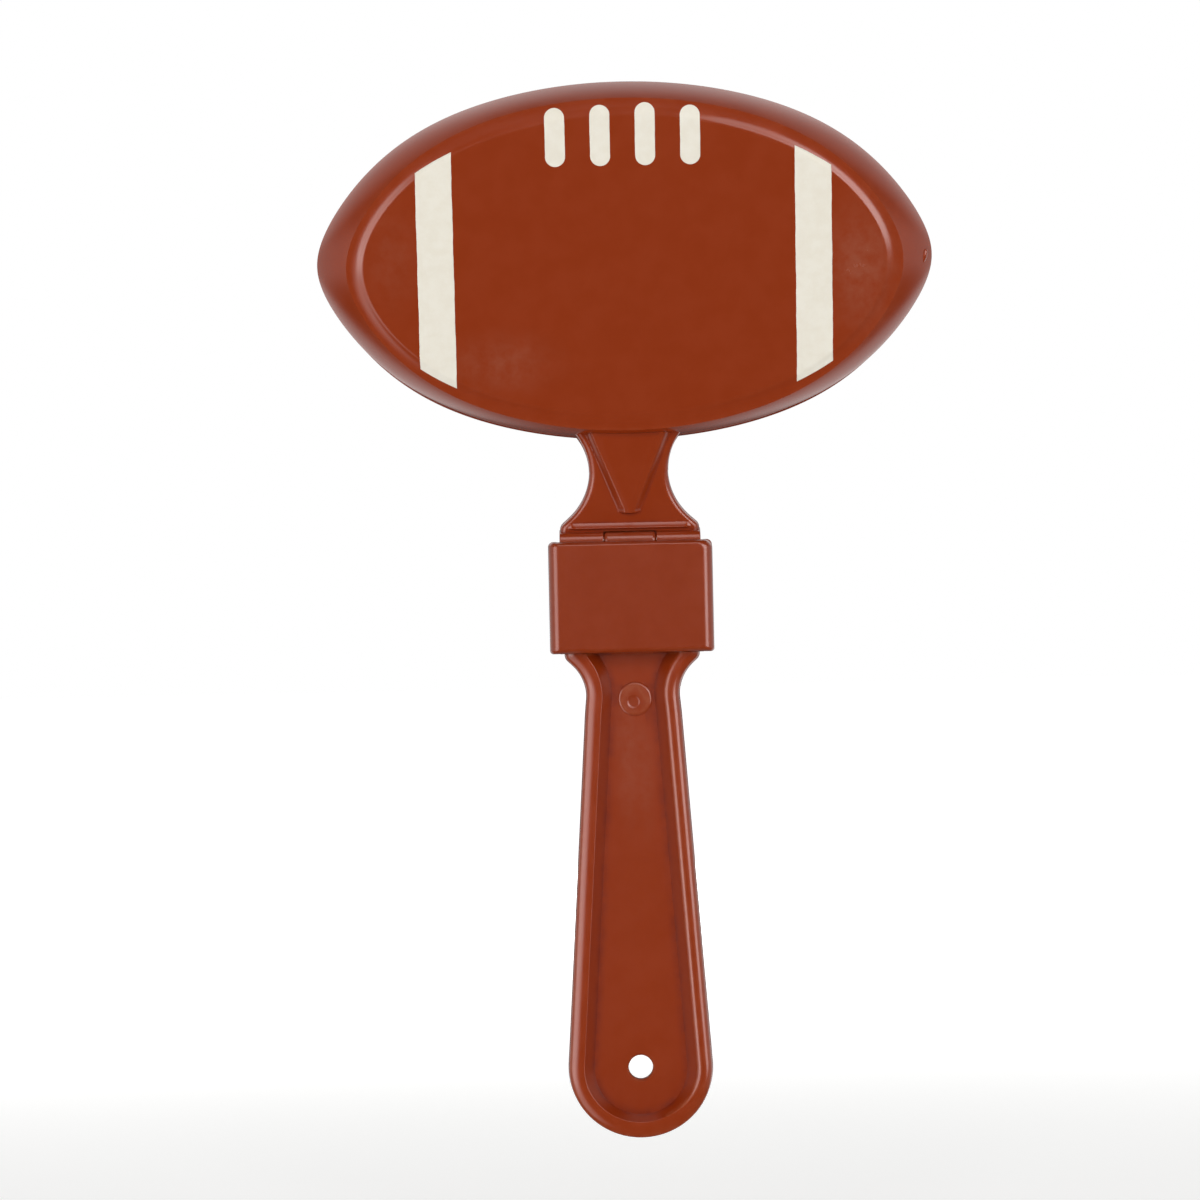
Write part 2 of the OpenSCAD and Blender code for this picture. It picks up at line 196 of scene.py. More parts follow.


# how sharply each point stands out or lies in a corner, kept for the wear and for the painted shade that
# darkens the corners
def markEdges(mesh):
    place = readAll(mesh.vertices, "co", 3)
    normal = readAll(mesh.vertex_normals, "vector", 3, np.float32)
    ends = readAll(mesh.edges, "vertices", 2, np.int32)
    corner = readAll(mesh.loops, "vertex_index", 1, np.int32)
    sides = readAll(mesh.polygons, "loop_total", 1, np.int32)
    marked = np.repeat(readAll(mesh.polygons, "area") < wear["largestFace"], sides)
    reach = place[ends[:, 1]] - place[ends[:, 0]]
    length = np.linalg.norm(reach, axis=1)
    turn = np.einsum("ij,ij->i", normal[ends[:, 1]] - normal[ends[:, 0]], reach)
    short = wear["shortEdge"]
    bend = np.where(length > short, turn / np.maximum(length, short) ** 2, 0)
    near = ends[length < wear["reach"]]
    # the second mask is painted shade: concave corners and recesses get a darker colour where shadow would
    # fall
    for label, amount in (("edgeRub", bend), ("cornerShade", -bend)):
        spread = np.zeros(len(place))
        for end in ends.T:
            np.maximum.at(spread, end, amount)
        spread = np.clip(spread, 0, wear["mostBend"])
        for _ in range(wear["rounds"]):
            total = spread.copy()
            share = np.ones(len(place))
            for here, there in ((near[:, 0], near[:, 1]), (near[:, 1], near[:, 0])):
                np.add.at(total, here, spread[there])
                np.add.at(share, here, 1)
            spread = total / share
        worn = smooth(spread, *wear["bend"])[corner] * marked
        layer = mesh.attributes.new(label, "FLOAT", "CORNER")
        layer.data.foreach_set("value", worn.astype(np.float32))


shading = {
    "sharpAngle": 38,
    "normalWeight": 60,
}


# smooth shading, wear marks and painted corner-shade marks, scale, material, and the place in the frame
def settle(piece, place, material, body, node, sharpAngle=shading["sharpAngle"]):
    mesh = piece.data
    mesh.polygons.foreach_set("use_smooth", [True] * len(mesh.polygons))
    markEdges(mesh)
    mesh.transform(toMetres @ place)
    mesh.set_sharp_from_angle(angle=math.radians(sharpAngle))
    mesh.materials.clear()
    mesh.materials.append(material)
    even = piece.modifiers.new("evenShading", "WEIGHTED_NORMAL")
    even.keep_sharp = True
    even.weight = shading["normalWeight"]
    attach(piece, body)
    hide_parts(node)


# the front piece, and a copy of it turned round as the rear one
def settlePair(piece, name, place, material, bodies, node, sharpAngle=shading["sharpAngle"]):
    piece.name = "front" + name
    twin = newObject("rear" + name, piece.data.copy())
    settle(piece, place, material, bodies[0], "front_" + node, sharpAngle)
    settle(twin, toRear @ place, material, bodies[1], "rear_" + node, sharpAngle)


# nodes: a number or a tuple is set on the socket, and anything else is linked to it

def feed(tree, socket, value):
    if isinstance(value, (int, float, tuple)):
        socket.default_value = value
    else:
        tree.links.new(value, socket)


def feedAll(tree, sockets, values):
    for socket, value in zip(sockets, values):
        feed(tree, socket, value)


def mathNode(tree, operation, *values, clamp=False):
    node = tree.nodes.new("ShaderNodeMath")
    node.operation = operation
    node.use_clamp = clamp
    feedAll(tree, node.inputs, values)
    return node.outputs[0]


def vectorNode(tree, operation, *values):
    node = tree.nodes.new("ShaderNodeVectorMath")
    node.operation = operation
    feedAll(tree, node.inputs, values)
    return node.outputs["Value" if operation in ("LENGTH", "DOT_PRODUCT") else "Vector"]


def rangeNode(tree, value, fromLow, fromHigh, toLow=0.0, toHigh=1.0):
    node = tree.nodes.new("ShaderNodeMapRange")
    node.interpolation_type = "SMOOTHSTEP"
    labels = ("Value", "From Min", "From Max", "To Min", "To Max")
    feedAll(tree, [node.inputs[label] for label in labels], (value, fromLow, fromHigh, toLow, toHigh))
    return node.outputs["Result"]


def noiseNode(tree, vector, scale, detail, roughness):
    node = tree.nodes.new("ShaderNodeTexNoise")
    labels = ("Vector", "Scale", "Detail", "Roughness")
    feedAll(tree, [node.inputs[label] for label in labels], (vector, scale, detail, roughness))
    return node.outputs["Fac"]


def mixColour(tree, share, first, second):
    node = tree.nodes.new("ShaderNodeMix")
    node.data_type = "RGBA"
    tree.links.new(share, node.inputs[0])
    for i, colour in ((6, first), (7, second)):
        feed(tree, node.inputs[i], (*colour, 1) if isinstance(colour, tuple) else colour)
    return node.outputs[2]


# node groups that several finishes share: a place and named values in, masks and heights out

def newGroup(name, inputs, outputs):
    group = bpy.data.node_groups.new(name, "ShaderNodeTree")
    group.interface.new_socket("Vector", in_out="INPUT", socket_type="NodeSocketVector")
    for label, value in inputs.items():
        kind = "NodeSocketVector" if isinstance(value, tuple) else "NodeSocketFloat"
        group.interface.new_socket(label, in_out="INPUT", socket_type=kind).default_value = value
    for label in outputs:
        group.interface.new_socket(label, in_out="OUTPUT", socket_type="NodeSocketFloat")
    return group, group.nodes.new("NodeGroupInput").outputs, group.nodes.new("NodeGroupOutput").inputs


grainNoise = {
    "grain": (3, 0.6),     # detail and roughness of each noise
    "wave": (2, 0.4),
    "mottle": (5, 0.62),
    "grainShare": 0.12,    # height of the grain beside the wave
    "mottleEdge": (0.3, 0.7),
}


def makeMouldGrain():
    group, start, end = newGroup(
        "mould grain", {"Grain Scale": 2600.0, "Wave Scale": 90.0, "Mottle Scale": 260.0},
        ("Height", "Mottle"))
    place = start["Vector"]
    grain = noiseNode(group, place, start["Grain Scale"], *grainNoise["grain"])
    wave = noiseNode(group, place, start["Wave Scale"], *grainNoise["wave"])
    mottle = noiseNode(group, place, start["Mottle Scale"], *grainNoise["mottle"])
    height = mathNode(group, "ADD", mathNode(group, "MULTIPLY", grain, grainNoise["grainShare"]), wave)
    group.links.new(height, end["Height"])
    group.links.new(rangeNode(group, mottle, *grainNoise["mottleEdge"]), end["Mottle"])
    return group


dustNoise = {
    "cloud": (4, 0.6),
    "streak": (4, 0.6),
    "cloudStart": 0.78,      # noise value from which clouds show without cover
    "coverDrop": 0.4,        # how far full cover brings that down
    "cloudSoft": 0.24,
    "streakEdge": (0.32, 0.72),
    "streakLeast": 0.15,     # dust that is left between the streaks
    "scratch": (2, 0.5),
    "scratchStretch": (900.0, 900.0, 120.0),
    "scratchWidth": 0.012,
    "scratchEdge": (0.48, 0.66),
}


def makeHandlingDust():
    group, start, end = newGroup(
        "handling dust", {"Cloud Scale": 45.0, "Streak Stretch": (600.0, 600.0, 40.0), "Cover": 0.5},
        ("Dust", "Scratch"))
    place = start["Vector"]
    cloud = noiseNode(group, place, start["Cloud Scale"], *dustNoise["cloud"])
    stretched = vectorNode(group, "MULTIPLY", place, start["Streak Stretch"])
    streak = noiseNode(group, stretched, 1.0, *dustNoise["streak"])
    drop = mathNode(group, "MULTIPLY", start["Cover"], dustNoise["coverDrop"])
    low = mathNode(group, "SUBTRACT", dustNoise["cloudStart"], drop)
    patch = rangeNode(group, cloud, low, mathNode(group, "ADD", low, dustNoise["cloudSoft"]))
    brushed = rangeNode(group, streak, *dustNoise["streakEdge"], dustNoise["streakLeast"], 1.0)
    group.links.new(mathNode(group, "MULTIPLY", patch, brushed), end["Dust"])
    # scratches: thin bands of a stretched noise, broken up by the clouds
    fine = vectorNode(group, "MULTIPLY", place, dustNoise["scratchStretch"])
    fine = noiseNode(group, fine, 1.0, *dustNoise["scratch"])
    away = mathNode(group, "ABSOLUTE", mathNode(group, "SUBTRACT", fine, 0.5))
    line = rangeNode(group, away, 0.0, dustNoise["scratchWidth"], 1.0, 0.0)
    broken = rangeNode(group, cloud, *dustNoise["scratchEdge"])
    group.links.new(mathNode(group, "MULTIPLY", line, broken), end["Scratch"])
    return group


spotNoise = {
    "scale": 420.0,
    "patch": (4, 0.65),
    "patchEdge": (0.15, 0.85),
}


# a rubbed spot: soft round mask about a place, broken up by noise
def makeScuffSpot():
    group, start, end = newGroup(
        "scuff spot", {"Place": (0.0, 0.0, 0.0), "Stretch": (1.0, 1.0, 1.0), "Reach": 0.008}, ("Mask",))
    away = vectorNode(group, "SUBTRACT", start["Vector"], start["Place"])
    length = vectorNode(group, "LENGTH", vectorNode(group, "MULTIPLY", away, start["Stretch"]))
    near = rangeNode(group, length, 0.0, start["Reach"], 1.0, 0.0)
    patchy = noiseNode(group, start["Vector"], spotNoise["scale"], *spotNoise["patch"])
    patchy = rangeNode(group, patchy, *spotNoise["patchEdge"])
    group.links.new(mathNode(group, "MULTIPLY", near, patchy), end["Mask"])
    return group


breakNoise = {
    "patch": (4, 0.6),
    "patchEdge": (0.35, 0.7),
    "least": 0.25,
}


def makeBrokenEdge():
    group, start, end = newGroup("broken edge", {"Edge": 0.0, "Break Scale": 520.0}, ("Mask",))
    broken = noiseNode(group, start["Vector"], start["Break Scale"], *breakNoise["patch"])
    broken = rangeNode(group, broken, *breakNoise["patchEdge"], breakNoise["least"], 1.0)
    group.links.new(mathNode(group, "MULTIPLY", start["Edge"], broken), end["Mask"])
    return group


mouldGrain = makeMouldGrain()
handlingDust = makeHandlingDust()
scuffSpot = makeScuffSpot()
brokenEdge = makeBrokenEdge()
print("stage: shared node groups made")


# finishes

def newMaterial(name):
    material = bpy.data.materials.new(name)
    material.use_nodes = True
    tree = material.node_tree
    place = tree.nodes.new("ShaderNodeTexCoord").outputs["Object"]
    return material, tree, tree.nodes["Principled BSDF"].inputs, place


def placeGroup(tree, group, place, values):
    node = tree.nodes.new("ShaderNodeGroup")
    node.node_tree = group
    tree.links.new(place, node.inputs["Vector"])
    for label, value in values.items():
        feed(tree, node.inputs[label], value)
    return node.outputs


# roughness and bump from the mould grain
def addGrain(tree, shader, mould, look, dulled=0.0):
    rough = rangeNode(tree, mould["Mottle"], 0.0, 1.0, *look["roughness"])
    feed(tree, shader["Roughness"], mathNode(tree, "ADD", rough, dulled))
    bump = tree.nodes.new("ShaderNodeBump")
    strength, distance = look["bump"]
    labels = ("Strength", "Distance", "Height")
    feedAll(tree, [bump.inputs[label] for label in labels], (strength, distance, mould["Height"]))
    tree.links.new(bump.outputs["Normal"], shader["Normal"])


brownPlastic = {
    "colour": (0.276, 0.0330, 0.0042),
    "deep": (0.264, 0.0310, 0.0040),
    "dust": (0.36, 0.12, 0.070),
    "rub": (0.33, 0.070, 0.026),
    # painted shade: the dark colour laid into concave corners, creases and recess walls
    "paintedShade": (0.15, 0.020, 0.012),
    "rubBreak": 520.0,
    "shadeBreak": 260.0,
    "scratchShare": 0.6,     # strength of scratches beside the dust
    "roughness": (0.19, 0.23),
    "dustRough": 0.16,
    "bump": (0.12, 0.0003),
}


def edgeShare(tree, place, label, share, breakScale):
    edge = tree.nodes.new("ShaderNodeAttribute")
    edge.attribute_name = label
    broken = placeGroup(tree, brokenEdge, place, {"Break Scale": breakScale, "Edge": edge.outputs["Fac"]})
    return mathNode(tree, "MULTIPLY", broken["Mask"], share)


def brownFinish(name, look):
    material, tree, shader, place = newMaterial(name)
    mould = placeGroup(tree, mouldGrain, place, look["grain"])
    dusty = placeGroup(tree, handlingDust, place, look["dustSpread"])
    worn = edgeShare(tree, place, "edgeRub", look["rub"], brownPlastic["rubBreak"])
    # painted shade in concave corners, from the corner mask
    shadeShare = edgeShare(tree, place, "cornerShade", look["paintedShade"], brownPlastic["shadeBreak"])
    veil = mathNode(tree, "MULTIPLY", dusty["Dust"], look["dust"])
    scratched = mathNode(tree, "MULTIPLY", dusty["Scratch"], look["dust"] * brownPlastic["scratchShare"])
    veil = mathNode(tree, "ADD", veil, scratched)
    for spot, stretch, reach, share in look["spots"]:
        mark = placeGroup(tree, scuffSpot, place, {"Place": spot, "Stretch": stretch, "Reach": reach})
        mark = mathNode(tree, "MULTIPLY", mark["Mask"], share)
        veil = mathNode(tree, "ADD", veil, mark, clamp=True)
    deep, colour = [tuple(part * look["tone"] for part in brownPlastic[label])
                    for label in ("deep", "colour")]
    colour = mixColour(tree, mould["Mottle"], deep, colour)
    # rubbed edges, dust, and last the painted shade in the corners
    for share, label in ((worn, "rub"), (veil, "dust"), (shadeShare, "paintedShade")):
        colour = mixColour(tree, share, colour, brownPlastic[label])
    tree.links.new(colour, shader["Base Color"])
    addGrain(tree, shader, mould, brownPlastic, mathNode(tree, "MULTIPLY", veil, brownPlastic["dustRough"]))
    return material


creamInk = {
    "colour": (0.82, 0.78, 0.68),
    "thin": (0.79, 0.74, 0.63),
    "dust": (0.66, 0.58, 0.46),
    "dustShare": 0.08,
    "grain": {"Grain Scale": 3800.0, "Wave Scale": 500.0, "Mottle Scale": 520.0},
    "dustSpread": {"Cloud Scale": 120.0, "Cover": 0.5},
    "roughness": (0.42, 0.56),
    "bump": (0.25, 0.00012),
}


def inkFinish():
    material, tree, shader, place = newMaterial("cream ink")
    mould = placeGroup(tree, mouldGrain, place, creamInk["grain"])
    dusty = placeGroup(tree, handlingDust, place, creamInk["dustSpread"])
    veil = mathNode(tree, "MULTIPLY", dusty["Dust"], creamInk["dustShare"])
    colour = mixColour(tree, mould["Mottle"], creamInk["thin"], creamInk["colour"])
    tree.links.new(mixColour(tree, veil, colour, creamInk["dust"]), shader["Base Color"])
    addGrain(tree, shader, mould, creamInk)
    return material


pinSteel = {
    "bright": (0.62, 0.62, 0.63),
    "drawn": (0.44, 0.44, 0.46),
    "stretch": (0.05, 1.0, 1.0),   # the grain is drawn out along the pin
    "grain": {"Grain Scale": 9000.0, "Wave Scale": 3000.0, "Mottle Scale": 5200.0},
    "roughness": (0.22, 0.42),
    "bump": (0.2, 0.00004),
}


def steelFinish():
    material, tree, shader, place = newMaterial("drawn steel wire")
    shader["Metallic"].default_value = 1.0
    along = vectorNode(tree, "MULTIPLY", place, pinSteel["stretch"])
    mould = placeGroup(tree, mouldGrain, along, pinSteel["grain"])
    colour = mixColour(tree, mould["Mottle"], pinSteel["drawn"], pinSteel["bright"])
    tree.links.new(colour, shader["Base Color"])
    addGrain(tree, shader, mould, pinSteel)
    return material


inkLook = inkFinish()
steelLook = steelFinish()
print("stage: ink and steel made")


# football paddle, drawn closed on the board and then turned out to its stop

football = {
    "halfWidth": (paddleHigh.x - paddleLow.x) / 2,
    "halfHeight": 31.75,
    "mid": 144.55,
    "tipDraw": 0.27,
    "panelDraw": 0.1,
    "drawPower": 7,
    "depth": 6.4,
    "strikePlane": 1.35,
    "edgeWidth": 2.3,
    "edgeTipWidth": 5.4,
    "ledgeWidth": 1.6,
    "ledgeRise": 0.15,
    "stepWidth": 1.3,
    "panelStep": 0.48,
    "stepFillet": 0.8,           # share of the step's width where it curves up from the ledge
    "stepStart": 0.40,           # its slope where it starts, as a share of the slope above
    "stepFade": (0.10, 0.45),    # shares of the half width between which the step grows to its full height
    "stepLeast": 0.3,            # share of its height that is left above and below
    "wall": 1.5,
    "lipRound": 0.25,
    "edgeLean": (73, 57),        # slope of the sloping edge where it starts and where it ends, in degrees
    "cornerReach": 0.36,         # how far the turn at the panel's edge runs
    "panelRings": (0.4, 0.9, 1.6),   # rows of points on the flat panel inside its edge
    "points": 320,
    "rows": {"lip": 4, "edge": 24, "ledge": 8, "step": 10, "turn": 5},
    "sharpAngle": 26,
}
football["edgeRise"] = football["depth"] - football["panelStep"] - football["ledgeRise"]


# half sizes, draw and rise of one ring of the shell
def footballRing(rise, edge=0.0, ledge=0.0, step=0.0, wall=0.0):
    pastEdge = football["ledgeWidth"] * ledge + football["stepWidth"] * step + wall
    inset = football["edgeWidth"] * edge + pastEdge
    tipInset = football["edgeTipWidth"] * edge + pastEdge
    panelInset = football["edgeWidth"] + football["ledgeWidth"] + football["stepWidth"]
    draw = football["tipDraw"] + (football["panelDraw"] - football["tipDraw"]) * inset / panelInset
    return football["halfWidth"] - tipInset, football["halfHeight"] - inset, draw, rise


def footballLine(halfWidth, halfHeight, draw):
    t = np.linspace(0, 2 * math.pi, football["points"], endpoint=False)
    x = halfWidth * np.cos(t)
    v = halfHeight * np.sin(t) * (1 - draw * np.abs(np.cos(t)) ** football["drawPower"])
    return np.stack([x, v + football["mid"]], axis=1)


# shares of the sloping edge's width and rise, from its slope along the way
def edgeShares(steps):
    slope = np.radians(np.linspace(*football["edgeLean"], steps + 1))
    inset = np.concatenate([[0], np.cumsum((np.cos(slope[1:]) + np.cos(slope[:-1])) / 2)])
    rise = np.concatenate([[0], np.cumsum((np.sin(slope[1:]) + np.sin(slope[:-1])) / 2)])
    return list(zip(inset / inset[-1], rise / rise[-1]))


# share of the step's rise at shares of its width: a fillet, then a straight slope
def stepShare(width):
    fillet = football["stepFillet"]
    start = football["stepStart"]
    lost = fillet * (1 - start) / 2
    slope = 1 / (1 - lost)
    if width < fillet:
        return slope * (start * width + (1 - start) * width ** 2 / (2 * fillet))
    return slope * (width - lost)


# rings of the front: striking lip, sloping edge, ledge, step and the panel's turned edge;
# each ends with the share of the step that is still to rise there
def faceRings():
    rows = football["rows"]
    lip, edgeRise, depth = football["lipRound"], football["edgeRise"], football["depth"]
    rings = [footballRing(lip * deep, wall=lip * left) + (0,) for deep, left in quarterTurn(rows["lip"])]
    for inset, rise in edgeShares(rows["edge"])[1:]:
        rings.append(footballRing(lip + (edgeRise - lip) * rise, edge=inset) + (rise,))
    for i in range(1, rows["ledge"] + 1):
        s = i / rows["ledge"]
        rings.append(footballRing(edgeRise + football["ledgeRise"] * s ** 2, 1, s) + (1,))
    ledgeTop = edgeRise + football["ledgeRise"]
    rise = football["panelStep"]
    turn = football["cornerReach"] / football["stepWidth"]
    for i in range(1, rows["step"] + 1):
        s = (1 - turn) * i / rows["step"]
        rings.append(footballRing(ledgeTop + rise * stepShare(s), 1, 1, s) + (1 - stepShare(s),))
    left = 1 - stepShare(1 - turn)
    for i in range(1, rows["turn"] + 1):
        u = i / rows["turn"]
        share = (1 - u) ** 2 * (1 - turn) + 2 * u * (1 - u) + u * u * (1 + turn)
        drop = (1 - u) ** 2 * left
        rings.append(footballRing(depth - rise * drop, 1, 1, share) + (drop,))
    for inside in football["panelRings"]:
        rings.append(footballRing(depth, 1, 1, 1 + turn + inside / football["stepWidth"]) + (0,))
    return rings


# how much higher the ledge is above and below, where the step fades, from shares of the half width
def stepFade(across):
    grown = smooth(np.abs(across), *football["stepFade"])
    return football["panelStep"] * (1 - football["stepLeast"]) * (1 - grown)


hollow = {
    "middle": 1.6,         # inmost ring of the ceiling, in widths of the step
    "drop": 0.9,           # of the rounded shoulder below the ceiling
    "shoulder": (0.4, 0.35, 0.5),   # shares of the edge, ledge and wall that the shoulder turns through
    "side": (0.6, 0.2),    # shares of the edge and the ledge below the shoulder
    "footRise": 1.0,
    "footEdge": 0.12,
    "rows": {"shoulder": 6, "lip": 3},
}


# rings of the hollow behind, from its ceiling down to the striking lip
def hollowRings():
    wall, lip = football["wall"], football["lipRound"]
    ceiling = football["depth"] - wall
    edge, ledge, thick = hollow["shoulder"]
    rings = [footballRing(ceiling, 1, 1, hollow["middle"]), footballRing(ceiling, 1, 1, 1)]
    for deep, left in quarterTurn(hollow["rows"]["shoulder"], 1):
        done = 1 - left
        rings.append(footballRing(ceiling - hollow["drop"] * deep, 1 - edge * done, 1 - ledge * done, left,
                                  thick * wall * done))
    rings.append(footballRing(football["edgeRise"] - wall - hollow["drop"], *hollow["side"], 0, wall))
    rings.append(footballRing(hollow["footRise"], hollow["footEdge"], 0, 0, wall))
    for deep, left in quarterTurn(hollow["rows"]["lip"]):
        rings.append(footballRing(lip * left, wall=wall - lip * deep))
    return rings


faceRows = faceRings()


# height of the front above the striking edge at points across x and up v from the football's middle
def faceRise(x, v):
    x = np.abs(np.asarray(x, float))
    v = np.abs(np.asarray(v, float))
    rows = faceRows[football["rows"]["lip"] + 1:]
    tops = []
    rises = []
    for halfWidth, halfHeight, draw, rise, toGo in rows:
        share = np.clip(x / halfWidth, 0, 1)
        top = halfHeight * np.sqrt(1 - share ** 2) * (1 - draw * share ** football["drawPower"])
        tops.append(np.where(x < halfWidth, top, halfWidth - x))
        rises.append(rise + toGo * stepFade(share))
    height = np.full(x.shape, rows[-1][3])
    for i in range(len(rows) - 1):
        gap = np.maximum(tops[i] - tops[i + 1], 1e-6)
        share = np.clip((tops[i] - v) / gap, 0, 1)
        here = (v <= tops[i]) & (v > tops[i + 1])
        height = np.where(here, rises[i] + (rises[i + 1] - rises[i]) * share, height)
    return height


def makeShell():
    rings = []
    for halfWidth, halfHeight, draw, rise, toGo in reversed(faceRows):
        outline = footballLine(halfWidth, halfHeight, draw)
        fade = toGo * stepFade(outline[:, 0] / halfWidth)
        rings.append(ringAt(outline, football["strikePlane"] + rise + fade))
    for halfWidth, halfHeight, draw, rise in reversed(hollowRings()):
        rings.append(ringAt(footballLine(halfWidth, halfHeight, draw), football["strikePlane"] + rise))
    return loft("paddleShell", rings)


neck = {
    "back": 1.85,
    "backRound": 0.2,
    "front": 4.05,
    "footHalf": 12.6,
    "footRound": 1.0,
    "waistHalf": 7.1,
    "waistHeight": 107.0,
    "sideRadius": 11.2,
    "sideRound": 1.15,
    "sideRows": 7,
    "top": 114.3,
    "columns": 160,
    "beadTop": hingeHeight + 3.15,
    "beadLow": hingeHeight + 2.28,
    "beadRise": 0.66,
    "beadBow": 0.3,              # share of its slope that is bowed
    "beadCrest": 0.85,           # where it is highest, in shares of the way down
    "beadUnder": 0.4,            # reach of its round underside
    "beadHalf": 11.2,
    "beadFade": 1.6,
    "tongueTop": 112.8,
    "tongueEnd": 100.3,          # where the round end of the tongue starts
    "tongueEndDrop": 1.0,
    "tongueEndFlat": 0.5,        # how far below that start the end keeps its full rise
    "tongueEndPower": 4,
    "tongueTopHalf": 7.1,
    "tongueEndHalf": 2.1,
    "tongueReach": 1.15,         # how far above its top the tongue goes on widening
    "tongueRise": (1.1, 1.4),
    "tongueStep": (1.2, 1.2),    # width of the steep side, low and high on the tongue
    "tongueStepShare": 0.92,     # share of the rise that the steep side takes
    "tongueStepSoft": 0.4,       # how far the steep side's two turns are softened
    "tongueFacet": (0.9, 1.5),   # width of the gentle slope inside it
    "tongueFacetSoft": 0.5,
}


# the smaller of two sizes, with the corner between them rounded
def roundedLeast(a, b, corner):
    return (a + b - math.sqrt((a - b) ** 2 + corner ** 2)) / 2


def neckHalf(z):
    drop = abs(z - neck["waistHeight"])
    if drop >= neck["sideRadius"]:
        return neck["footHalf"]
    reach = math.sqrt(neck["sideRadius"] ** 2 - drop ** 2)
    side = neck["waistHalf"] + neck["sideRadius"] - reach
    if z > neck["waistHeight"]:
        return min(neck["footHalf"], side)
    return roundedLeast(neck["footHalf"], side, neck["footRound"])


# a straight ramp from 0 to 1, with its turns softened by a share
def softRamp(value, soft):
    share = np.clip(value, 0, 1)
    return (1 - soft) * share + soft * smooth(share)


# how far the tongue and the bead stand out from the neck
def neckLift(x, z):
    away = np.abs(x)
    end, drop = neck["tongueEnd"], neck["tongueEndDrop"]
    up = np.clip((z - end) / (neck["tongueTop"] - end), 0, neck["tongueReach"])
    step, facet, rise = [neck[label][0] + (neck[label][1] - neck[label][0]) * up
                         for label in ("tongueStep", "tongueFacet", "tongueRise")]
    outer = neck["tongueEndHalf"] + (neck["tongueTopHalf"] - neck["tongueEndHalf"]) * up
    if z < end:
        outer = neck["tongueEndHalf"] * math.sqrt(max(1 - ((end - z) / drop) ** neck["tongueEndPower"], 0))
    steep = softRamp((outer - away) / step, neck["tongueStepSoft"])
    gentle = softRamp((outer - step - away) / facet, neck["tongueFacetSoft"])
    share = neck["tongueStepShare"]
    lift = rise * (share * steep + (1 - share) * gentle)
    if z < end:
        lift = lift * smooth(z, end - drop, end - neck["tongueEndFlat"])
    # bead across the foot: a bowed slope down from the neck, with a short round underside
    crest, under, bow = neck["beadCrest"], neck["beadUnder"], neck["beadBow"]
    down = (neck["beadTop"] - z) / (neck["beadTop"] - neck["beadLow"])
    if 0 < down < crest + under:
        slope = min(down, crest)
        bead = neck["beadRise"] * slope * (1 - bow + bow * slope) / (crest * (1 - bow + bow * crest))
        bead = bead * math.sqrt(max(1 - max((down - crest) / under, 0) ** 2, 0))
        lift = lift + bead * smooth(neck["beadHalf"] - away, 0, neck["beadFade"])
    return lift


# rows lie close together where the bead and the tongue's end need them
def makeNeck():
    low, high = neck["beadLow"] - 0.24, neck["beadTop"]
    end, tongueTop = neck["tongueEnd"], neck["tongueTop"]
    spans = ((hingeHeight, low - 0.05, 12), (low, high, 26), (high + 0.08, end - 1.1, 10),
             (end - 1.02, end + 0.1, 16), (end + 0.3, tongueTop, 56), (tongueTop + 0.3, neck["top"], 5))
    turn = np.linspace(0, math.pi / 2, neck["sideRows"])[:-1]
    radius, soft, back = neck["sideRound"], neck["backRound"], neck["back"]
    rings = []
    for z in np.concatenate([np.linspace(*span) for span in spans]):
        half = neckHalf(z)
        x = np.linspace(-(half - radius), half - radius, neck["columns"])
        sideX = np.concatenate([[-half + soft, -half], -(half - radius) - radius * np.cos(turn)])
        sideFront = np.concatenate([[back, back + soft], neck["front"] - radius + radius * np.sin(turn)])
        front = np.concatenate([sideFront, neck["front"] + neckLift(x, z), sideFront[::-1]])
        x = np.concatenate([sideX, x, -sideX[::-1]])
        rings.append(np.stack([x, -front, np.full(len(x), z)], axis=1))
    return loft("paddleNeck", rings)


hinge = {
    "barrelRadius": 1.6,
    "pinBore": 0.85,
    "boreReach": 30,
    "knuckle": (4.72, 12.6),
    "knuckleFillet": 0.15,
    "overlap": 0.01,             # keeps joined faces out of one plane
    "tailHeight": hingeHeight - 7.0,
    "tailFront": (3.85, 5.25),
    "tailInset": 0.36,
    "tailEdge": 0.25,
    "windowFront": (0, 9),
    "windowUp": (85, hingeHeight + 1.67),
}

# moulding gate on the slope at one tip: a small oval nub
gate = {
    "place": (52.72, 3.2, 144.1),   # across, front and up
    "half": 1.8,
    "wide": 0.65,
    "tilt": 24,
    "rows": 14,
    "sides": 24,
}


def makeGate():
    across, front, up = gate["place"]
    turn = [math.pi * (i + 0.5) / gate["rows"] for i in range(gate["rows"])]
    oval = [(-gate["half"] * math.cos(t), gate["wide"] * math.sin(t)) for t in turn]
    nub = turned("gate", oval, 0, (0, 0, 0), gate["sides"])
    lean = Matrix.Rotation(math.radians(gate["tilt"] - 90), 4, "Y")
    nub.data.transform(Matrix.Translation((across, -front, up)) @ lean)
    return nub


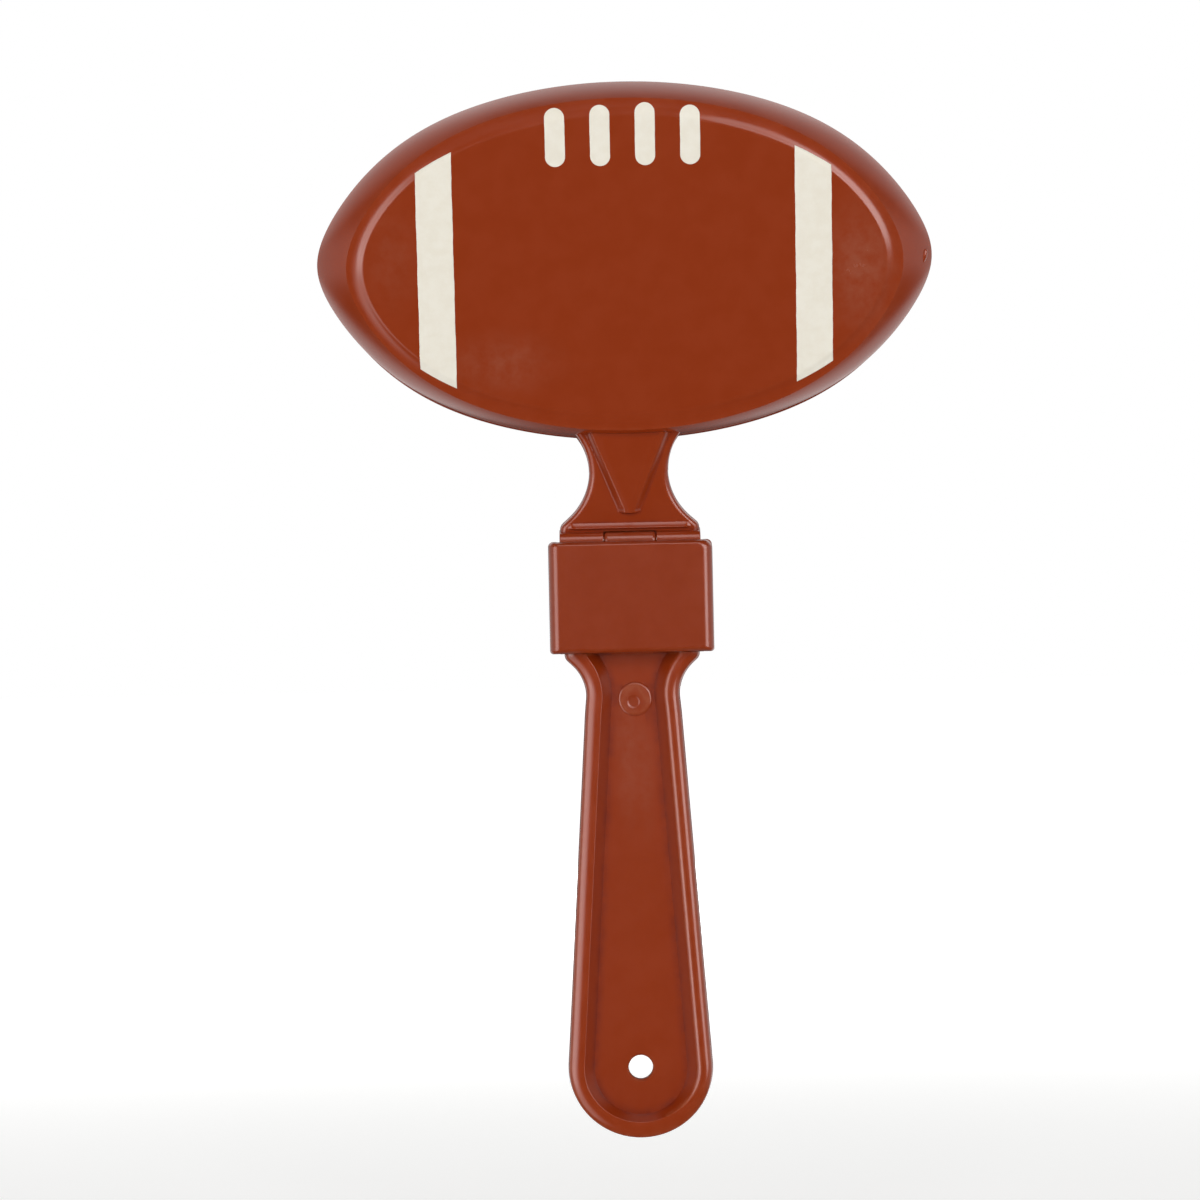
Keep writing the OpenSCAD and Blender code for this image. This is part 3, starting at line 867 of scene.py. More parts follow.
def makePaddle():
    neckPiece = makeNeck()
    low, high = hinge["knuckle"]
    overlap, radius = hinge["overlap"], hinge["barrelRadius"]
    armFront = (neck["back"] + overlap, hingeFront)
    armUp = (hingeHeight + overlap, hingeHeight + radius - overlap)
    for side in (-1, 1):
        ends = sorted((side * low, side * high))
        bar = roundBarProfile(*ends, radius, hinge["knuckleFillet"])
        join(neckPiece, turned("knuckle", bar, 0, hingeCentre))
        join(neckPiece, softBox("arm", ends, armFront, armUp))
        tail = (ends[0] + hinge["tailInset"], ends[1] - hinge["tailInset"])
        tailUp = (hinge["tailHeight"], hingeHeight)
        join(neckPiece, softBox("tail", tail, hinge["tailFront"], tailUp, hinge["tailEdge"]))
    cut(neckPiece, softBox("window", (-low, low), hinge["windowFront"], hinge["windowUp"]))
    bore = [(end * hinge["boreReach"], hinge["pinBore"]) for end in (-1, 1)]
    cut(neckPiece, turned("bore", bore, 0, hingeCentre, boreSides))
    paddle = makeShell()
    join(paddle, makeGate())
    join(paddle, neckPiece)
    return paddle


# place on the front football's face at rest, from across and up on the panel
def facePlace(x, v):
    drawn = Vector((x, -(football["strikePlane"] + football["depth"]), football["mid"] + v))
    return tuple(toMetres @ toStop @ drawn)


footballLook = {
    "dustSpread": {"Cloud Scale": 38.0, "Streak Stretch": (260.0, 260.0, 140.0), "Cover": 0.45},
    "grain": {"Grain Scale": 2400.0, "Wave Scale": 60.0, "Mottle Scale": 240.0},
    "dust": 0.035,
    "rub": 0.15,
    # share of painted shade in concave corners
    "paintedShade": 0.35,
    "tone": 1.0,
    "spots": (             # place, stretch, reach and share
        (facePlace(42, -1), (1.2, 0.6, 0.6), 0.0110, 0.45),
        (facePlace(-22, -17), (0.7, 1.0, 1.3), 0.0100, 0.30),
        (facePlace(-41, 2), (1.1, 0.6, 0.6), 0.0080, 0.20)),
}
footballFinish = brownFinish("brown plastic, football", footballLook)
paddleBodies = ("front_paddle", "rear_paddle")
paddle = makePaddle()
settlePair(paddle, "Paddle", toStop, footballFinish, paddleBodies, "paddle",
           football["sharpAngle"])
print("stage: paddles made,", len(paddle.data.vertices), "points each")


# printed marks: closed films draped over the face, with slightly uneven edges

marks = {
    "lift": 0.07,
    "edgeLift": 0.3,             # share of the lift that is left at the film's edge
    "sink": 0.03,
    "edgeFade": 0.12,
    "wobble": 0.05,
    "waves": ((0.55, 1.7, 0.5), (1.3, 2.9, 0.3), (3.1, 4.3, 0.2)),   # rate, shift and share
    "stripeX": (30.1, 36.5),
    "stripeAcross": ((0, 0.015, 0.03, 0.06), 18),   # shares from an edge inwards, and the count of even rows
    "stripeUp": ((0, 0.0025, 0.006), 150),
    "endHalfWidth": 47.6,
    "endHalfHeight": 27.05,
    "endShift": -0.4,
    "laceWidth": 3.5,
    "lacePitch": 7.9,
    "laceLow": 17.6,
    "laceTops": (27.9, 28.3, 28.6, 28.0),
    "laceAcross": ((0, 0.03, 0.07, 0.14), 14),
    "laceWobble": 0.6,           # beside the stripes
    "laceTip": 0.004,            # square of the half width that is left at its round ends
    "laceRows": (14, 40),        # in a round end and between the ends
    "seeds": {"stripe": (1.0, 3.0), "lace": (5.0, 9.0)},   # of the left and right edges
    "sharpAngle": 60,
}


def filmShares(edge, count):
    inner = edge[-1]
    return np.concatenate([edge[:-1], np.linspace(inner, 1 - inner, count), [1 - e for e in edge[-2::-1]]])


def unevenEdge(v, seed):
    waves = [np.sin(v * rate + seed * shift) * share for rate, shift, share in marks["waves"]]
    return marks["wobble"] * sum(waves)


# closed film between left and right edges, on rows at heights v between low and high
def drape(name, across, v, left, right, low, high):
    x = left + (right - left) * across[None, :]
    v = np.broadcast_to(v, x.shape)
    rows, count = x.shape
    inward = np.minimum(np.minimum(x - left, right - x), np.minimum(v - low, high - v))
    raised = marks["edgeLift"] + (1 - marks["edgeLift"]) * smooth(inward, 0, marks["edgeFade"])
    plane = football["strikePlane"] + faceRise(x, v)
    points = [np.stack([x, -front, v + football["mid"]], axis=-1).reshape(-1, 3)
              for front in (plane + marks["lift"] * raised, plane - marks["sink"])]
    under = rows * count
    faces = []
    for i in range(rows - 1):
        for j in range(count - 1):
            a = i * count + j
            quad = (a, a + 1, a + count + 1, a + count)
            faces.append(quad)
            faces.append(tuple(under + k for k in reversed(quad)))
    border = list(range(count)) + [i * count + count - 1 for i in range(1, rows)]
    border += [(rows - 1) * count + j for j in range(count - 2, -1, -1)]
    border += [i * count for i in range(rows - 2, 0, -1)]
    for a, b in zip(border, border[1:] + border[:1]):
        faces.append((b, a, under + a, under + b))
    return closedPiece(name, np.concatenate(points), faces)


# the ends of a stripe follow an arc
def stripeFilm(side):
    left, right = sorted(side * x for x in marks["stripeX"])
    across = filmShares(*marks["stripeAcross"])
    up = filmShares(*marks["stripeUp"])
    reach = np.sqrt(1 - ((left + (right - left) * across) / marks["endHalfWidth"]) ** 2)
    low = marks["endShift"] - marks["endHalfHeight"] * reach
    high = marks["endShift"] + marks["endHalfHeight"] * reach
    v = low + (high - low) * up[:, None]
    leftSeed, rightSeed = marks["seeds"]["stripe"]
    leftEdge = left + unevenEdge(v, leftSeed + side)
    rightEdge = right + unevenEdge(v, rightSeed + side)
    return drape("stripe", across, v, leftEdge, rightEdge, low, high)


def laceFilm(i):
    half, low, top = marks["laceWidth"] / 2, marks["laceLow"], marks["laceTops"][i]
    endRows, midRows = marks["laceRows"]
    centre = (i - (len(marks["laceTops"]) - 1) / 2) * marks["lacePitch"]
    roundEnd = half * (1 - np.cos(np.linspace(0, math.pi / 2, endRows)))
    straight = np.linspace(low + half, top - half, midRows)[1:-1]
    v = np.concatenate([low + roundEnd, straight, top - roundEnd[::-1]])[:, None]
    away = np.maximum(np.maximum(low + half - v, v - (top - half)), 0)
    width = np.sqrt(np.maximum(half ** 2 - away ** 2, marks["laceTip"]))
    leftSeed, rightSeed = marks["seeds"]["lace"]
    leftEdge = centre - width + marks["laceWobble"] * unevenEdge(v, leftSeed + i)
    rightEdge = centre + width + marks["laceWobble"] * unevenEdge(v, rightSeed + i)
    return drape("lace", filmShares(*marks["laceAcross"]), v, leftEdge, rightEdge, low, top)


def mergePieces(name, pieces):
    work = bmesh.new()
    for piece in pieces:
        work.from_mesh(piece.data)
    mesh = bpy.data.meshes.new(name)
    work.to_mesh(mesh)
    work.free()
    for piece in pieces:
        bpy.data.objects.remove(piece)
    return newObject(name, mesh)


stripes = [stripeFilm(side) for side in (-1, 1)]
laces = [laceFilm(i) for i in range(len(marks["laceTops"]))]
for kind, films in (("stripes", stripes), ("laces", laces)):
    merged = mergePieces(kind, films)
    settlePair(merged, "Ink" + kind.capitalize(), toStop, inkLook, paddleBodies, kind,
               marks["sharpAngle"])
print("stage: printed marks made")


# cuff half: open-backed box with the hinge lug, a peg and a socket

cuff = {
    "halfWidth": (cuffHigh.x - cuffLow.x) / 2,
    "bottom": cuffLow.z,
    "height": 20.2,
    "depth": -cuffLow.y,
    "corners": (1.6, 0.95, 0.6, 0.6),   # upper right, upper left, lower left, lower right
    "cornerShrink": 0.6,         # how fast the corners tighten towards the face
    "cornerLeast": 0.3,
    "cornerRows": 8,
    "sideEdge": 1.9,             # reach of the rounded edge on the sides and on the ends, and its depth
    "endEdge": 0.8,
    "edgeDepth": 2.0,
    "edgeRows": 16,
    "draft": 0.12,
    "wall": 1.5,
    "seamRound": 0.14,
    "seamGap": 0.025,
    "seamRows": 3,
    "collarSeat": 2.41,
    "collarRoom": 3,             # of wall above the way that the collar comes in by
    "cutPast": 2,                # how far cutting shapes reach past what they cut
    "overlap": 0.6,              # how far joined shapes reach into each other
    "lugHalf": 4.68,
    "lugFillet": 0.7,
    "lugRows": 7,
    "lugBack": 3.5,
    "lugEdge": 0.3,
    "lugArm": (0.02, 1),         # the arm's inset from the lug, and its rise above the lug's foot
    "lugBore": 0.81,
    "lugBoreReach": 9,
    "pegX": 7.0,
    "pegHeight": cuffLow.z + 6.0,
    "pegRadius": 1.5,
    "pegStart": 0.5,             # how far it reaches into the face
    "pegTip": ((0.4, 0.0), (0.1, 0.15), (0.0, 0.4)),   # from its end, and how much thinner there
    "pegEnd": 7.15,
    "bossRadius": 2.6,
    "bossEdge": 0.2,
    "socketGap": 0.03,
    "socketEnds": (7.45, 1.5),
}


def cuffLine(insetX, insetZ):
    halfX = cuff["halfWidth"] - insetX
    low = cuff["bottom"] + insetZ
    high = cuff["bottom"] + cuff["height"] - insetZ
    shrink = cuff["cornerShrink"] * min(insetX, insetZ)
    points = []
    sides = ((1, 1, 0), (-1, 1, 90), (-1, -1, 180), (1, -1, 270))
    for radius, (signX, signZ, start) in zip(cuff["corners"], sides):
        r = max(radius - shrink, cuff["cornerLeast"])
        centreX = signX * (halfX - r)
        centreZ = high - r if signZ > 0 else low + r
        for i in range(cuff["cornerRows"] + 1):
            t = math.radians(start + 90 * i / cuff["cornerRows"])
            points.append((centreX + r * math.cos(t), centreZ + r * math.sin(t)))
    return np.array(points)


def makeCuffBody():
    depth, seam = cuff["depth"], cuff["seamRound"]
    rings = []
    for deep, left in quarterTurn(cuff["edgeRows"]):
        front = depth - cuff["edgeDepth"] * deep
        draft = cuff["draft"] * front / depth
        rings.append(ringAt(cuffLine(cuff["sideEdge"] * left + draft, cuff["endEdge"] * left + draft), front))
    for deep, left in quarterTurn(cuff["seamRows"]):
        rings.append(ringAt(cuffLine(seam * deep, seam * deep), cuff["seamGap"] + seam * left))
    return loft("cuffBody", rings)


# lug in the middle of the hinge barrel, from inside the face up to the pin
def makeLug(inside, top):
    lug, back, foot = cuff["lugHalf"], cuff["lugBack"], hinge["tailHeight"]
    inset, rise = cuff["lugArm"]
    overlap, reach = cuff["overlap"], cuff["lugBoreReach"]
    piece = softBox("lug", (-lug, lug), (back, inside + overlap), (foot, top - overlap), cuff["lugEdge"])
    armFront = (back + inset, hingeFront)
    join(piece, softBox("lugArm", (-lug + inset, lug - inset), armFront, (foot + rise, hingeHeight)))
    bar = roundBarProfile(-lug, lug, hinge["barrelRadius"], cuff["lugFillet"], cuff["lugRows"])
    join(piece, turned("lugBar", bar, 0, hingeCentre))
    bore = [(end * reach, cuff["lugBore"]) for end in (-1, 1)]
    cut(piece, turned("lugBore", bore, 0, hingeCentre, boreSides))
    return piece


def makeCuff():
    half = makeCuffBody()
    inner = cuff["halfWidth"] - cuff["wall"]
    bottom, top = cuff["bottom"], cuff["bottom"] + cuff["height"]
    inside = cuff["depth"] - cuff["wall"]
    past, seat = cuff["cutPast"], cuff["collarSeat"]
    cut(half, softBox("hollow", (-inner, inner), (-past, inside), (bottom + cuff["wall"], top + past)))
    cut(half, softBox("collarWay", (-inner, inner), (-past, seat), (bottom - past, top - cuff["collarRoom"])))
    join(half, makeLug(inside, top))
    pegX, up = cuff["pegX"], cuff["pegHeight"]
    radius, edge = cuff["bossRadius"], cuff["bossEdge"]
    boss = [(-(inside + cuff["overlap"]), radius), (-seat - edge, radius), (-seat, radius - edge)]
    for side in (-1, 1):
        join(half, turned("boss", boss, 1, (side * pegX, 0, up)))
    radius = cuff["pegRadius"]
    peg = [(-(inside + cuff["pegStart"]), radius)]
    peg += [(cuff["pegEnd"] - back, radius - thinner) for back, thinner in cuff["pegTip"]]
    join(half, turned("peg", peg, 1, (pegX, 0, up)))
    socket = [(-end, radius + cuff["socketGap"]) for end in cuff["socketEnds"]]
    cut(half, turned("socket", socket, 1, (-pegX, 0, up)))
    return half


cuffLook = {
    "dustSpread": {"Cloud Scale": 90.0, "Streak Stretch": (900.0, 900.0, 60.0), "Cover": 0.75},
    "grain": {"Grain Scale": 2600.0, "Wave Scale": 120.0, "Mottle Scale": 420.0},
    "dust": 0.02,
    "rub": 0.3,
    # share of painted shade in concave corners
    "paintedShade": 0.3,
    "tone": 0.93,
    "spots": (),
}
cuffFinish = brownFinish("brown plastic, cuff", cuffLook)
settlePair(makeCuff(), "Cuff", asDrawn, cuffFinish, ("handle", "handle"), "cuff")
print("stage: cuff made")


# handle: grip with a recessed panel on both sides, collar, neck and striking board

grip = {
    "endRadius": 12.95,
    "endDrop": 12.5,
    "waistHalf": 8.5,
    "waistHeight": 66.5,
    "flareRadius": 7.2,
    "topHalf": 12.2,
    "topRound": 1.1,
    "topInset": (0.6, 1.5, 3.0),   # how much nearer the recess comes there, and the insets where that grows
    "top": cuffLow.z - 0.004,
    "rows": {"end": 48, "side": 24, "flare": 40, "round": 12, "rim": 9, "wall": 6},
    "halfThick": 4.5,
    "webHalf": 1.5,
    "outerRound": {             # across and deep
        "left": (2.6, 1.1),
        "right": (1.5, 1.4),
        "end": (2.3, 1.2),
    },
    "draft": 0.12,
    "ridge": ((0.16, -0.01), (0.072, 0.06)),   # parting line round the sides: (from the middle, rise)
    "recess": {                 # inset where the rim's inner edge turns, its radius, and the wall's slope
        "left": (2.78, 0.12, 59),
        "right": (1.95, 1.3, 57),
        "end": (2.9, 0.15, 70),
    },
    "recessPast": 0.9,          # how far the cutting shape stands out in front
    "webRings": (0.0, 0.35, 0.8, 1.3, 2.0),   # rows of points on the panel from the foot of the wall
    "sideBlend": (-5, 5),       # across, where the left side's shape gives way to the right's
    "endBlend": (1, 10),        # down from the hole, where theirs give way to the round end's
    "overlap": 0.6,
    "holeRadius": 2.2,
    "holeFlare": 0.35,
    "holeTight": 0.9,           # how round the flare is
    "holeRows": 4,
}


def gripLine(inset, top):
    rows = grip["rows"]
    taper = math.atan((grip["endRadius"] - grip["waistHalf"]) / grip["waistHeight"])
    flareX = grip["waistHalf"] + grip["flareRadius"] * math.cos(taper)
    flareZ = grip["waistHeight"] + grip["flareRadius"] * math.sin(taper)
    flareR = grip["flareRadius"] + inset
    r = grip["endRadius"] - inset
    right = []
    for i in range(rows["end"] + 1):
        t = (math.pi / 2 + taper) * i / rows["end"] - math.pi / 2
        drop = grip["endDrop"] - inset if t < 0 else r
        right.append((r * math.cos(t), drop * math.sin(t)))
    startX, startZ = right[-1]
    endX, endZ = flareX - flareR * math.cos(taper), flareZ - flareR * math.sin(taper)
    for i in range(1, rows["side"]):
        share = i / rows["side"]
        right.append((startX + (endX - startX) * share, startZ + (endZ - startZ) * share))
    # hollow flare that turns up into a short straight side under the cuff
    nearer, low, high = grip["topInset"]
    straight = grip["topHalf"] - inset - nearer * float(smooth(inset, low, high))
    for i in range(rows["flare"] + 1):
        z = endZ + (top - endZ) * math.sin(math.pi / 2 * i / rows["flare"])
        reach = math.sqrt(max(flareR ** 2 - (z - flareZ) ** 2, 0))
        right.append((roundedLeast(flareX - reach, straight, grip["topRound"]), z))
    right = np.array(right)
    left = right[:0:-1] * np.array([-1, 1])
    return np.concatenate([right, left])


def gripSide(across, deep):
    top, draft = grip["halfThick"], grip["draft"]
    rows = [(top - deep * down, across * left + draft) for down, left in quarterTurn(grip["rows"]["round"])]
    return rows + [(front, -rise) for front, rise in grip["ridge"]]


def recessSide(rimEnd, inner, slope):
    angle = math.radians(slope)
    top, floor, past = grip["halfThick"], grip["webHalf"], grip["recessPast"]
    rimRows, wallRows = grip["rows"]["rim"], grip["rows"]["wall"]
    rows = [(top + past, rimEnd - past)]
    for i in range(rimRows + 1):
        t = angle * i / rimRows
        rows.append((top - inner * (1 - math.cos(t)), rimEnd + inner * math.sin(t)))
    front, inset = rows[-1]
    foot = inset + (front - floor) / math.tan(angle)
    for i in range(1, wallRows):
        share = i / wallRows
        rows.append((front + (floor - front) * share, inset + (foot - inset) * share))
    return rows + [(floor, foot + away) for away in grip["webRings"]]


# rings whose two sides and round end have rows of their own, blended into each other
def blendRings(rows, top):
    sides = {}
    for name, pairs in rows.items():
        sides[name] = [ringAt(gripLine(inset, top), front) for front, inset in pairs]
    rings = []
    for left, right, end in zip(sides["left"], sides["right"], sides["end"]):
        ring = left + (right - left) * smooth(right[:, 0], *grip["sideBlend"])[:, None]
        rings.append(ring + (end - ring) * smooth(-end[:, 2], *grip["endBlend"])[:, None])
    return rings


# the back is the front turned round, so left and right change places there
def makeGripBody():
    fronts = {name: gripSide(*sizes) for name, sizes in grip["outerRound"].items()}
    rows = {}
    for name, behind in (("left", "right"), ("right", "left"), ("end", "end")):
        rows[name] = fronts[name] + [(-front, inset) for front, inset in reversed(fronts[behind])]
    body = loft("gripBody", blendRings(rows, grip["top"]))
    recess = {name: recessSide(*sizes) for name, sizes in grip["recess"].items()}
    for turn in (asDrawn, toRear):
        tool = loft("recess", blendRings(recess, grip["top"] + grip["overlap"]))
        tool.data.transform(turn)
        cut(body, tool)
    return body


def cutHangHole(body):
    web, hole, flare, past = grip["webHalf"], grip["holeRadius"], grip["holeFlare"], grip["overlap"]
    bore = [(-web - past, hole + flare + past), (-web, hole + flare)]
    for _, left in quarterTurn(grip["holeRows"], 1):
        bore.append((-web + flare * (1 - left), hole + flare * left * grip["holeTight"]))
    bore += [(-place, radius) for place, radius in reversed(bore)]
    cut(body, turned("hangHole", bore, 1, (0, 0, 0), wideSides))


# round mark of an ejector pin on the front panel: a low disc with a dimple
pinMark = {
    "place": (0.35, 0, 66.2),
    "radius": 3.1,
    "rise": 0.22,
    "edge": ((1.0, 0.55), (0.92, 0.38), (0.5, 0.12), (0.0, 0.0)),   # share of the rise, and how far inside
    "root": 0.5,
    "dimple": 1.3,
    "dimpleDepth": 0.2,
    "dimpleEdge": ((-1.5, -0.3), (0.0, 0.0), (0.6, 0.28), (1.0, 0.6)),   # the same, of its depth
    "dimpleShift": (-0.3, 0, -0.5),
}


def addPinMark(body):
    web, rise, radius = grip["webHalf"], pinMark["rise"], pinMark["radius"]
    disc = [(-web - rise * share, radius - inside) for share, inside in pinMark["edge"]]
    place = Vector(pinMark["place"])
    join(body, turned("pinMark", disc + [(-web + pinMark["root"], radius)], 1, place, wideSides))
    wide, deep = pinMark["dimple"], pinMark["dimpleDepth"]
    dimple = [(-web - rise + deep * share, wide - inside) for share, inside in pinMark["dimpleEdge"]]
    cut(body, turned("pinDimple", dimple, 1, place + Vector(pinMark["dimpleShift"])))


board = {
    "halfThick": 1.25,
    "inset": 0.3,
    "edgeRound": 0.45,
    "edgeRows": 5,
    "collarHalf": 13.1,
    "collarThick": 2.36,
    "collarEdge": 0.3,
    "collarTop": hingeHeight - 3.5,
    "spigotHalf": (7.7, 0.9),      # across and deep
    "spigotUp": (0.6, 1),          # how far it reaches into the grip, and its end below the collar's top
    "neckSpans": ((hingeHeight - 4.1, 95.5, 5), (95.6, 113.7, 48)),
    "neckEdge": 0.25,
    "pegHole": 1.55,
    "pegHoleReach": 9,
}


def makeBoard():
    edge, thick = board["edgeRound"], board["halfThick"]
    quarter = quarterTurn(board["edgeRows"])
    rows = [(thick - edge * deep, board["inset"] + edge * left) for deep, left in quarter]
    rows += [(-front, inset) for front, inset in reversed(rows)]
    rings = []
    for front, inset in rows:
        halves = football["halfWidth"] - inset, football["halfHeight"] - inset
        rings.append(ringAt(footballLine(*halves, football["tipDraw"]), front))
    return loft("board", rings)


def makeBoardNeck():
    soft, thick = board["neckEdge"], board["halfThick"]
    rings = []
    for z in np.concatenate([np.linspace(*span) for span in board["neckSpans"]]):
        half = neckHalf(z)
        corner = [(half - soft, -thick), (half, -thick + soft), (half, thick - soft), (half - soft, thick)]
        line = corner + [(-x, y) for x, y in reversed(corner)]
        rings.append(np.array([(x, y, z) for x, y in line]))
    return loft("boardNeck", rings)


def makeHandle():
    body = makeGripBody()
    cutHangHole(body)
    addPinMark(body)
    half, thick, top = board["collarHalf"], board["collarThick"], board["collarTop"]
    join(body, softBox("collar", (-half, half), (-thick, thick), (grip["top"], top), board["collarEdge"]))
    half, thick = board["spigotHalf"]
    into, below = board["spigotUp"]
    join(body, softBox("spigot", (-half, half), (-thick, thick), (grip["top"] - into, top - below)))
    boardPiece = makeBoard()
    join(boardPiece, makeBoardNeck())
    join(body, boardPiece)
    hole = [(end * board["pegHoleReach"], board["pegHole"]) for end in (-1, 1)]
    for side in (-1, 1):
        cut(body, turned("pegHole", hole, 1, (side * cuff["pegX"], 0, cuff["pegHeight"]), boreSides))
    return body


gripLook = {
    "dustSpread": {"Cloud Scale": 60.0, "Streak Stretch": (520.0, 520.0, 36.0), "Cover": 0.72},
    "grain": {"Grain Scale": 2600.0, "Wave Scale": 80.0, "Mottle Scale": 300.0},
    "dust": 0.018,
    "rub": 0.8,
    # share of painted shade in concave corners
    "paintedShade": 0.7,
    "tone": 1.02,
    "spots": (
        ((-0.0010, -0.0015, 0.0560), (2.6, 1.0, 0.5), 0.0095, 0.26),
        ((0.0022, -0.0015, 0.0525), (3.4, 1.0, 0.5), 0.0080, 0.18)),
}
handle = makeHandle()
handle.name = "gripAndBoard"
settle(handle, asDrawn, brownFinish("brown plastic, grip", gripLook), "handle", "handle")
print("stage: handle made,", len(handle.data.vertices), "points")

for node in ("front_hinge_pin", "rear_hinge_pin"):
    pin = frame["nodes"][node]
    pin.data.materials.clear()
    pin.data.materials.append(steelLook)


# floor, light and camera

floorLook = {
    "half": 6.0,
    "height": -0.05,
    "colour": (0.86, 0.86, 0.85, 1),
    "roughness": 0.9,
    "lift": (0.34, 0.95),        # of the camera's view of it, near the clapper and far from it
    "reach": (0.25, 1.4),
}


def makeFloor():
    half = floorLook["half"]
    mesh = bpy.data.meshes.new("floor")
    corners = [(x * half, y * half, 0) for x, y in ((-1, -1), (1, -1), (1, 1), (-1, 1))]
    mesh.from_pydata(corners, [], [(0, 1, 2, 3)])
    floor = newObject("floor", mesh)
    floor.location.z = floorLook["height"]
    material, tree, shader, place = newMaterial("pale floor")
    shader["Base Color"].default_value = floorLook["colour"]
    shader["Roughness"].default_value = floorLook["roughness"]
    shader["Specular IOR Level"].default_value = 0.0
    shader["Emission Color"].default_value = (1, 1, 1, 1)
    path = tree.nodes.new("ShaderNodeLightPath")
    far = rangeNode(tree, vectorNode(tree, "LENGTH", place), *floorLook["reach"], *floorLook["lift"])
    lift = mathNode(tree, "MULTIPLY", path.outputs["Is Camera Ray"], far)
    tree.links.new(lift, shader["Emission Strength"])
    mesh.materials.append(material)
    # the world below gives the plastic its reflections and its light
    floor.visible_glossy = False
    floor.visible_diffuse = False
    floor.visible_shadow = False


# what lights the plastic, and what it mirrors: dark in front, pale at the sides, above and behind
sky = {
    "ambient": (0.70, 0.25),     # from below and from above
    "ambientEdge": (-0.3, 0.3),
    "frontGloss": 0.0,
    "frontEdge": (-0.80, -0.25),
    "sideGloss": 0.92,
    "upGloss": (0.1, 1.55),      # overhead and behind
    "upEdge": (0.08, 0.70),
    "upFrom": (0.15, 0.5),
    "lowGloss": (0.03, 0.16),    # below, in front and behind
    "lowBehind": (0.1, 0.5),
    "lowEdge": (-0.50, -0.15),
    "backGloss": 0.1,            # straight behind, as dark as in front
    "backEdge": (0.84, 0.97),
    "softBoxes": (               # directions, cosines of the outer and inner reach, strength
        ((-0.69, -0.72, 0.05), (0.90, 0.985), 4.4),
        ((0.66, -0.73, 0.17), (0.91, 0.985), 6.5),
        ((-0.62, -0.66, -0.42), (0.90, 0.985), 2.2),
        ((0.30, -0.89, 0.32), (0.96, 0.992), 3.0),
        ((0.0, -0.69, 0.72), (0.94, 0.985), 3.4),
        ((-0.62, 0.44, 0.65), (0.82, 0.95), 0.8),
        ((0.62, 0.44, 0.65), (0.82, 0.95), 0.8),
        ((-0.54, 0.74, -0.40), (0.88, 0.975), 1.05),
        ((0.52, 0.75, -0.41), (0.88, 0.975), 1.0)),
}


def backgroundNode(tree, strength):
    node = tree.nodes.new("ShaderNodeBackground")
    node.inputs["Color"].default_value = (1, 1, 1, 1)
    feed(tree, node.inputs["Strength"], strength)
    return node.outputs[0]


def mixShader(tree, share, first, second):
    node = tree.nodes.new("ShaderNodeMixShader")
    feedAll(tree, node.inputs, (share, first, second))
    return node.outputs[0]


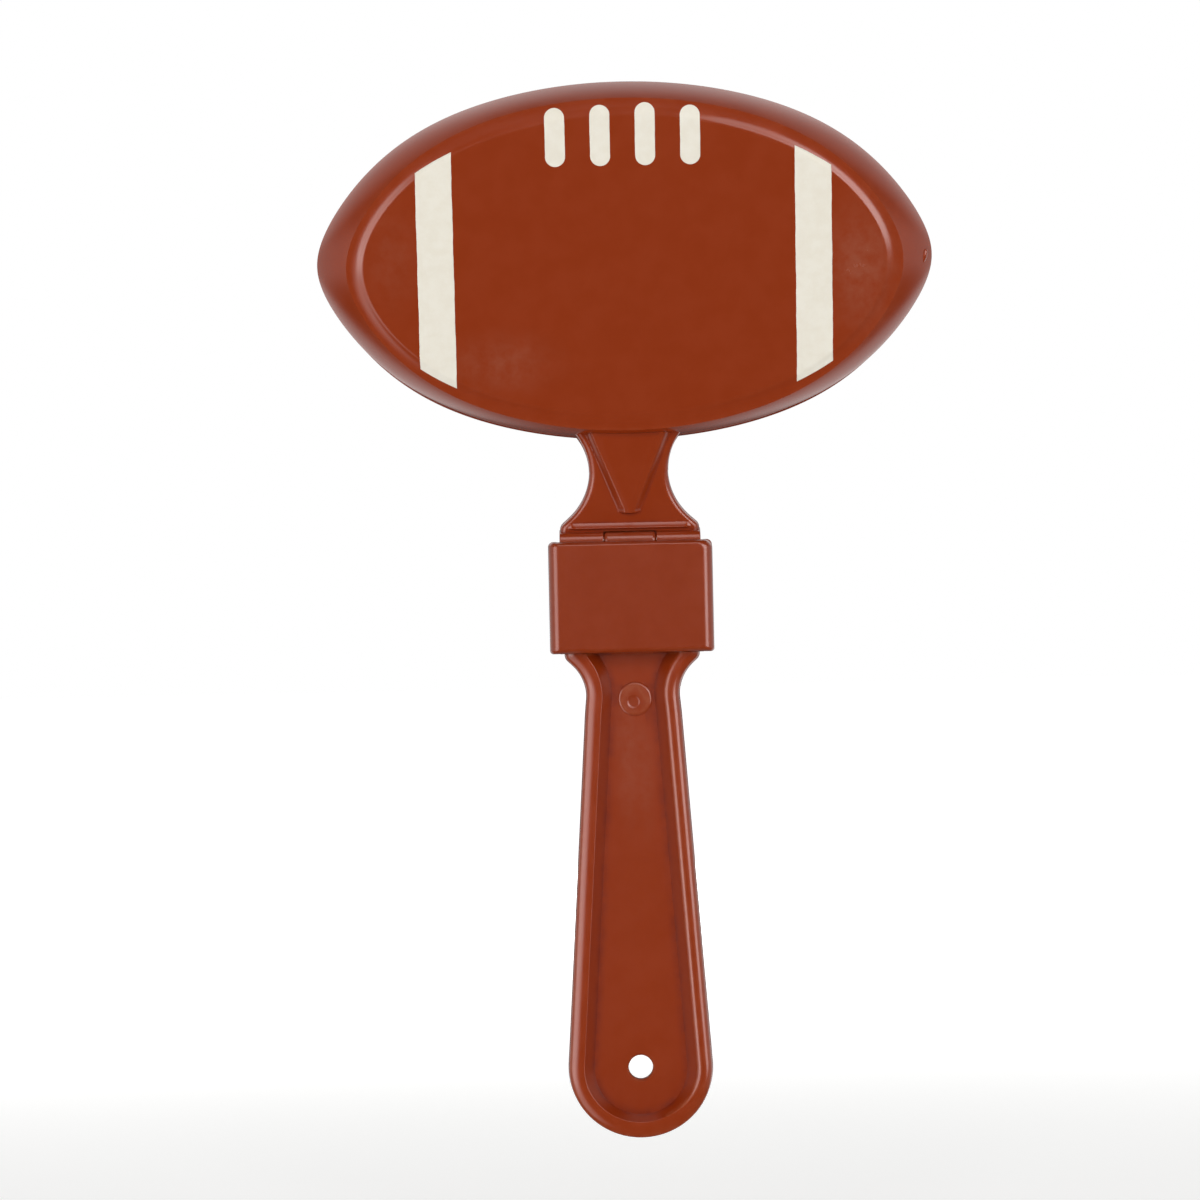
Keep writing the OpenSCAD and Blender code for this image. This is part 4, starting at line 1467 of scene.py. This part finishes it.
def makeWorld():
    world = bpy.data.worlds.new("studio")
    bpy.context.scene.world = world
    world.use_nodes = True
    tree = world.node_tree
    tree.nodes.clear()
    ray = tree.nodes.new("ShaderNodeLightPath").outputs
    toward = tree.nodes.new("ShaderNodeTexCoord").outputs["Generated"]
    direction = tree.nodes.new("ShaderNodeSeparateXYZ")
    tree.links.new(toward, direction.inputs[0])
    behind, height = direction.outputs["Y"], direction.outputs["Z"]
    above = rangeNode(tree, behind, *sky["upEdge"], *sky["upGloss"])
    around = rangeNode(tree, height, *sky["upFrom"], sky["sideGloss"], above)
    side = rangeNode(tree, behind, *sky["frontEdge"], sky["frontGloss"], around)
    low = rangeNode(tree, behind, *sky["lowBehind"], *sky["lowGloss"])
    up = rangeNode(tree, height, *sky["lowEdge"], low, 1.0)
    back = rangeNode(tree, behind, *sky["backEdge"], 1.0, sky["backGloss"])
    gloss = mathNode(tree, "MULTIPLY", mathNode(tree, "MULTIPLY", side, up), back)
    for centre, reach, power in sky["softBoxes"]:
        near = vectorNode(tree, "DOT_PRODUCT", toward, tuple(Vector(centre).normalized()))
        gloss = mathNode(tree, "ADD", gloss, rangeNode(tree, near, *reach, 0.0, power))
    ambient = rangeNode(tree, height, *sky["ambientEdge"], *sky["ambient"])
    light = mixShader(tree, ray["Is Glossy Ray"], backgroundNode(tree, ambient), backgroundNode(tree, gloss))
    seen = mathNode(tree, "MAXIMUM", ray["Is Camera Ray"], ray["Is Transmission Ray"])
    whole = mixShader(tree, seen, light, backgroundNode(tree, 1.0))
    tree.links.new(whole, tree.nodes.new("ShaderNodeOutputWorld").inputs["Surface"])


lampAim = (0, 0, 0.09)
lamps = {
    "front": {"place": (0.0, -1.35, 0.42), "size": 0.9, "power": 11.1},
    "left": {"place": (-0.9, -0.2, 0.5), "size": 0.5, "power": 0.1},
    "back": {"place": (0.0, 1.35, 0.42), "size": 0.9, "power": 12.0},
    "top": {"place": (-0.1, -0.2, 1.0), "size": 0.5, "power": 0.4},
}


def makeLamps():
    for name, lamp in lamps.items():
        data = bpy.data.lights.new(name + "Lamp", "AREA")
        data.size = lamp["size"]
        data.energy = lamp["power"]
        light = newObject(name + "Lamp", data)
        light.location = lamp["place"]
        light.rotation_mode = "QUATERNION"
        light.rotation_quaternion = (Vector(lampAim) - Vector(lamp["place"])).to_track_quat("-Z", "Y")
        light.visible_glossy = False


cameraView = {
    "aim": (-0.00559, 0.0, 0.0841),
    "distance": 0.8,
    "span": 0.216,       # width seen at the middle of the clapper
    "roll": 1.2,         # the clapper leans this many degrees to the left in the picture
    "sensor": 36.0,
    "clip": (0.01, 20.0),
}


def makeCamera():
    data = bpy.data.cameras.new("camera")
    data.sensor_width = cameraView["sensor"]
    data.lens = cameraView["sensor"] * cameraView["distance"] / cameraView["span"]
    data.clip_start, data.clip_end = cameraView["clip"]
    camera = newObject("camera", data)
    camera.location = Vector(cameraView["aim"]) - Vector((0, cameraView["distance"], 0))
    roll = Matrix.Rotation(-math.radians(cameraView["roll"]), 4, "Z")
    camera.rotation_euler = (Matrix.Rotation(math.pi / 2, 4, "X") @ roll).to_euler()
    bpy.context.scene.camera = camera


makeFloor()
makeWorld()
makeLamps()
makeCamera()
bpy.context.scene.view_settings.view_transform = "Standard"
print("stage: floor, light and camera set")
